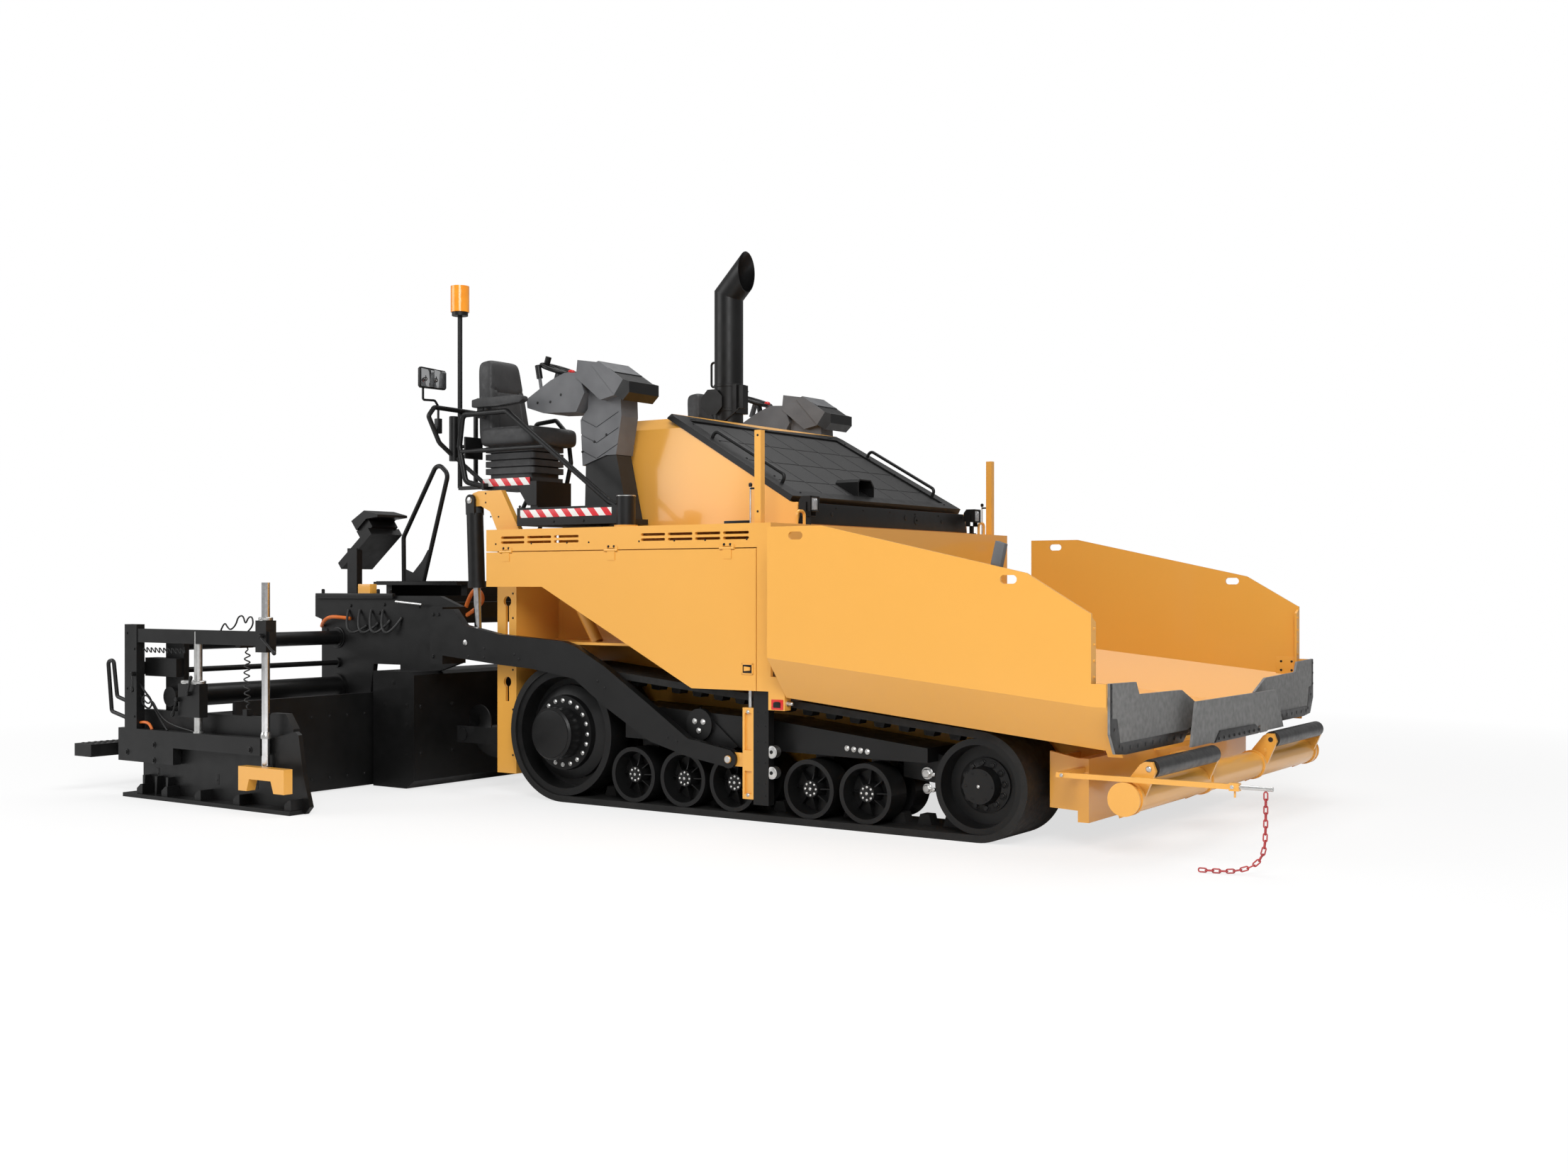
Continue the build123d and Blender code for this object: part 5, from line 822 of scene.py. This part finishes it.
def dress_stations():
    """Stripes, tubes, mirrors, knobs, caps and bolts of the two stations."""
    tray_y, beam_y = 1310, 1425
    console_screws = ((-620, 90, 2230), (-520, 90, 2290), (-420, 90, 2330), (-850, 140, 2560),
                      (-760, 140, 2600), (-960, 140, 2560))
    for side, sign in SIDES:
        body, out, upward = f"station_{side}", (0, sign, 0), (0, 0, 1)
        stripes = Piece(f"reflector_stripes_{side}", body, "red_paint", STRIPES)
        stripes.plate("Y", sign * (tray_y - 1), sign * (tray_y + 2), rectangle(-1432, -1010, 2029, 2079), 0.8)
        stripes.plate("Y", sign * (beam_y - 1), sign * (beam_y + 2), rectangle(-985, -219, 1808, 1858), 0.8)
        stripes.place()
        dress_station_tubes(side, sign)
        dress_mirror(side, sign)
        trim = Piece(f"station_trim_{side}", body, "chrome", ZINC)
        trim.turned((PIVOT_X, sign * PIVOT_Y, 1922), upward, ((0, 61), (5, 61), (6, 59)), 40)
        trim.place()
        knob = Piece(f"wheel_knob_{side}", body, "red_paint", SIGNAL_RED)
        knob_rows = ((-30, 9), (0, 14), (6, 22), (18, 24), (28, 18), (32, 6))
        knob.turned((-820, sign * 1120, 2752), upward, knob_rows, 24)
        knob.place()
        bolts = Piece(f"station_bolts_{side}", body, "black_paint")
        for x, z in ((-990, 1880), (-700, 1780), (-450, 1780)):
            bolts.bolt((x, sign * beam_y, z), out, 7)
        for x, y, z in console_screws:
            bolts.turned((x, sign * (CONSOLE_Y + y), z), out, ((-2, 9), (1, 9), (2, 6)), 14)
        bolts.turned((PIVOT_X, sign * PIVOT_Y, 1928), upward, ((-6, 59), (2, 59), (4, 55)), 40)
        bolts.place()
        paint_faces(f"console_{side}", MATERIALS["black_paint"],
                    lambda x, y, z: z < 2150 or (x > -300 and z > 2530) or (x < -800 and z > 2745))
    paint_faces("beacon", MATERIALS["black_paint"], lambda x, y, z: z < 3214)


# Screed

def crank(piece, at, way, tip):
    """A clamp handle: a hub and a lever that ends in a knob."""
    piece.turned(at, (0, way, 0), ((0, 15), (26, 15), (30, 11)), 16)
    start, end = Vector(at) + Vector((0, way * 20, 0)), Vector(tip) + Vector((0, way * 30, 0))
    piece.pipe([start, (start + end) / 2, end], 7)
    piece.turned(end, end - start, ((-16, 8), (0, 12), (14, 12), (20, 7)), 14)


def dress_posts(side, sign, mid):
    """The light collars round the gate frame's posts, and the short post's rod."""
    light = Piece(f"gate_collars_{side}", f"extender_{side}", "chrome", ZINC)
    for x, z, radius in ((POST_X, 1160, 40), (-2625, 752, 42), (-2519, 752, 42)):
        collar = ((-2, radius), (2, radius + 3), (16, radius + 3), (19, radius))
        light.turned((x, mid, z), (0, 0, 1), collar, 28)
        light.bolt((x, mid + sign * (radius + 2), z + 9), (0, sign, 0), 6)
    light.turned((SHORT_POST_X, mid, 752), (0, 0, 1), ((0, 25.5), (330, 25.5), (333, 23)), 28)
    light.turned((SHORT_POST_X, mid, BEAM_Z), (0, 0, 1), ((0, 31), (8, 31), (9, 25.5), (101, 25.5)), 28)
    light.place()


def dress_gate_frame(side, sign):
    """Bolts, clamp handles and cables of a gate frame."""
    out, mid, face = (0, sign, 0), sign * POST_Y, sign * RAIL_Y1
    dress_posts(side, sign, mid)
    dark = Piece(f"gate_fittings_{side}", f"extender_{side}", "black_paint")
    for x, z in ((-3228, 285), (-2940, 346), (-2940, 246), (-1978, 367)):
        dark.turned((x, face, z), out, ((-1, 21), (3, 21), (4, 18)), 24)
        dark.bolt((x, face + sign * 3, z), out, 12)
    for x, z in ((-3228, 1062), (-3150, 960), (-3228, 700), (-3150, 520)):
        dark.bolt((x, face, z), out, 7)
    # each lever's hub, its distance from the rail's face, and its tip
    for x, z, off, tip_x, tip_z in ((-1850, 1066, 8, -1720, 970), (-2671, 650, 5, -2700, 560),
                                    (-2560, 690, 5, -2520, 785), (-3150, 797, -2, -3130, 700)):
        crank(dark, (x, face + sign * off, z), sign, (tip_x, face, tip_z))
    zigzag = [(14, 985) if number % 2 else (-14, 925) for number in range(22)]
    dark.pipe([(-3110 + 22 * n, sign * (POST_Y + aside), z) for n, (aside, z) in enumerate(zigzag)], 4)
    arch = ((-2300, 1088), (-2265, 1150), (-2230, 1110), (-2200, 1096), (-2150, 1130), (-2130, 1180),
            (-2080, 1190), (-2060, 1130), (-2030, 1180), (-1990, 1180), (-1985, 1120), (-2040, 1088))
    dark.pipe([(x, mid, z) for x, z in arch], 5)
    knot = ((-3130, 0, 730), (-3070, 20, 700), (-2990, 0, 620), (-3060, -15, 560), (-3130, 0, 620),
            (-3030, 20, 680), (-2960, 0, 560), (-2900, -8, 480), (-2840, 0, 441))
    lead = ((-3130, 0, 660), (-3050, 0, 590), (-2980, 18, 640), (-2940, 0, 560), (-2860, 0, 500),
            (-2700, 0, 462), (-2560, 0, 447))
    for route, radius in ((knot, 6), (lead, 5)):
        dark.pipe([(x, mid + sign * y, z) for x, y, z in route], radius)
    dark.place()
    hose = Piece(f"gate_hose_{side}", f"extender_{side}", "red_paint", ORANGE_HOSE)
    route = ((-3128, 0, 480), (-3070, 6, 488), (-3020, 0, 472), (-3005, 0, 440))
    hose.pipe([(x, mid + sign * y, z) for x, y, z in route], 9)
    hose.place()


def dress_gates():
    """The gate frames' fittings, the end gates' wear plates and the collars under the sensor posts."""
    gate_face = 2684
    for side, sign in SIDES:
        dress_gate_frame(side, sign)
        foot = Piece(f"gate_feet_{side}", f"end_gate_{side}", "black_paint")
        for x in (-2990, -2380, -2000, -1800):
            foot.plate("Y", sign * gate_face, sign * (gate_face + 2.5), rectangle(x - 16, x + 16, 120, 190))
            foot.flat_bolt((x, sign * (gate_face + 2), 150), (0, sign, 0), 6)
        foot.place()
        collar = Piece(f"post_foot_{side}", f"extender_{side}", "chrome", ZINC)
        collar.turned((POST_X, sign * POST_Y, BEAM_Z), (0, 0, 1), ((0, 31), (24, 31), (28, 29), (40, 26)), 28)
        collar.place()


def dress_extenders():
    """Studs of the steps' treads, bolts of the extenders' moulds and the rings round the slide tubes."""
    for side, sign in SIDES:
        tread = Piece(f"step_tread_{side}", f"extender_{side}", "black_paint")
        for row in range(3):
            for number in range(24):
                stud = (-3880 + 52 * row, sign * (1590 + 46 * number), 299)
                tread.turned(stud, (0, 0, 1), ((0, 15), (4, 13), (6, 8)), 8)
        for y in range(1550, 2560, 150):
            for z in (500, 90):
                tread.bolt((-2315, sign * y, z), (1, 0, 0), 9)
        tread.place()
        rings = Piece(f"slide_seals_{side}", "screed", "black_paint")
        ring = ((-2, 76), (8, 76), (11, 70), (11, 51), (-2, 51))
        rings.turned((SLIDE_XS[side], sign * FRAME_WALL_Y, 1000), (0, sign, 0), ring, 40)
        rings.place()


def dress_screed():
    """Bolts of the main screed and arms, the control boxes, hoses and the walkway's tread."""
    dark = Piece("screed_bolts", "screed", "black_paint")
    light = Piece("screed_light_parts", "screed", "chrome", ZINC)
    yellow = Piece("screed_yellow_boxes", "screed", "yellow_paint")
    orange = Piece("screed_hoses", "screed", "red_paint", ORANGE_HOSE)
    black_hose = Piece("screed_black_hoses", "screed", "cord_black")
    arm_screws = ((-1456, 1000), (-1269, 962), (-1410, 907), (-1271, 902), (-1000, 930), (-960, 900),
                  (-300, 780), (-240, 740), (250, 460), (320, 440))
    rail_hose = ((-3095, FRAME_WALL_Y + 12, 1080), (-3041, 1300, 1110), (-2965, 1310, 1148),
                 (-2880, 1300, 1150), (-2790, FRAME_WALL_Y + 12, 1138))
    lift_hose = ((-1720, 1180, 1228), (-1650, 1190, 1357), (-1560, 1190, 1330), (-1560, 1180, 1240),
                 (-1660, 1240, 1170))
    for _, sign in SIDES:
        out, arm_face, wall = (0, sign, 0), sign * ARM_FACE_Y, sign * FRAME_WALL_Y
        for x, z in ((-2166, 562), (-1955, 563), (-2191, 240), (-1956, 243), (-2086, 715), (-1955, 432)):
            dark.flat_bolt((x, sign * SCREED_END_Y, z), out, 13)
        for y in (250, 700, 1150, 1440):
            for z in (560, 240):
                dark.bolt((-1885, sign * y, z), (1, 0, 0), 12)
        for x, z in arm_screws:
            dark.turned((x, arm_face, z), out, ((-1, 8), (1.5, 8), (2.5, 6)), 14)
        light.turned((-1439, arm_face, 997), out, ((-1, 19), (4, 19), (6, 15)), 24)
        for x, z in ((-1740, 1180), (-1740, 900), (-1690, 1180)):
            dark.bolt((x, arm_face, z), out, 11)
        for x, z in ((-2100, 1230), (-2450, 1240), (-2800, 1230), (-3050, 1050), (-2500, 1180)):
            dark.bolt((x, wall, z), out, 11)
        dark.block(-3150, -2340, sign * (FRAME_WALL_Y - 2), sign * (FRAME_WALL_Y + 26), 1280, 1318, 4)
        for x in (-3080, -2500, -2380):
            dark.turned((x, sign * (FRAME_WALL_Y + 12), 1317), (0, 0, 1), ((0, 12), (26, 12), (32, 8)), 18)
        light.pipe(mirrored(sign, (-2290, 1290, 1262), (-2150, 1296, 1252), (-2020, 1300, 1243)), 9)
        yellow.block(-2702, -2577, sign * 1205, sign * 1270, 1317, 1384, 4)
        orange.pipe(mirrored(sign, *rail_hose), 13)
        orange.pipe(mirrored(sign, *lift_hose), 14)
        for number in range(4):
            x = -2820 + 120 * number
            loop = ((x, FRAME_WALL_Y + 2, 1200), (x + 40, 1320, 1080), (x + 110, 1300, 1020),
                    (x + 190, FRAME_WALL_Y + 2, 1090 + 20 * number))
            black_hose.pipe(mirrored(sign, *loop), 9)
    tread_half_w, tread_z = 690, 1404
    for row in range(29):
        x = -3160 + 29 * row
        dark.pipe([(x, -tread_half_w, tread_z), (x, 0, tread_z), (x, tread_half_w, tread_z)], 3)
    for piece in (dark, light, yellow, orange, black_hose):
        piece.place()
    for side, _ in SIDES:
        paint_faces(f"sensor_post_{side}", MATERIALS["yellow_paint"], lambda x, y, z: y > 2781.5)


# Stage and light

def make_stage():
    """A plain pale floor that keeps the object's shadow and fades to white far away."""
    mesh = bpy.data.meshes.new("floor")
    half, near, far = 60, 4.5, 9.0
    mesh.from_pydata([(x, y, 0) for x, y in rectangle(-half, half, -half, half)], [], [(0, 1, 2, 3)])
    floor = bpy.data.objects.new("floor", mesh)
    bpy.context.collection.objects.link(floor)
    made, tree, shader = new_material("floor")
    feed(tree, shader, {"Base Color": (0.9, 0.9, 0.9, 1), "Roughness": 0.8})
    white = add_node(tree, "Emission", {"Strength": 1.0}).outputs["Emission"]
    place = add_node(tree, "TexCoord").outputs["Object"]
    reach = add_node(tree, "VectorMath", {0: place}, "LENGTH").outputs["Value"]
    seen = add_node(tree, "LightPath").outputs["Is Camera Ray"]
    fade = spread(tree, reach, 0.7, 1.0, near, far)
    share = add_node(tree, "Math", {0: seen, 1: fade}, "MULTIPLY").outputs["Value"]
    mix = add_node(tree, "MixShader", {"Fac": share, 1: shader.outputs["BSDF"], 2: white})
    feed(tree, tree.nodes["Material Output"], {"Surface": mix.outputs["Shader"]})
    mesh.materials.append(made)


def make_world():
    """Even studio light, with white behind the object."""
    world = bpy.data.worlds.new("studio")
    bpy.context.scene.world = world
    world.use_nodes = True
    tree = world.node_tree
    tree.nodes.clear()
    light, white = [add_node(tree, "Background", {"Color": (1, 1, 1, 1), "Strength": strength})
                    for strength in (SKY_LIGHT, SKY_SEEN)]
    seen = add_node(tree, "LightPath").outputs["Is Camera Ray"]
    pick = add_node(tree, "MixShader", {"Fac": seen, 1: light.outputs["Background"],
                                        2: white.outputs["Background"]})
    add_node(tree, "OutputWorld", {"Surface": pick.outputs["Shader"]})


def make_lamp(name, at, toward, size, watts):
    """A soft area lamp aimed at a point."""
    light = bpy.data.lights.new(name, "AREA")
    light.size = size
    light.energy = watts
    lamp = bpy.data.objects.new(name, light)
    bpy.context.collection.objects.link(lamp)
    lamp.location = at
    aim = Vector(toward) - Vector(at)
    lamp.rotation_euler = aim.to_track_quat("-Z", "Y").to_euler()


make_camera()
make_chain()
make_coiled_cables()
for dress in (dress_wheels, dress_panels, dress_hood, dress_lamps, dress_grille, dress_exhaust,
              dress_tow_points, dress_hopper, dress_front_beam, dress_seats, dress_stations, dress_gates,
              dress_extenders, dress_screed, dress_columns):
    dress()
make_stage()
make_world()
for name, at, toward, size, watts in LAMPS:
    make_lamp(name, at, toward, size, watts)
bpy.context.scene.view_settings.view_transform = "Standard"
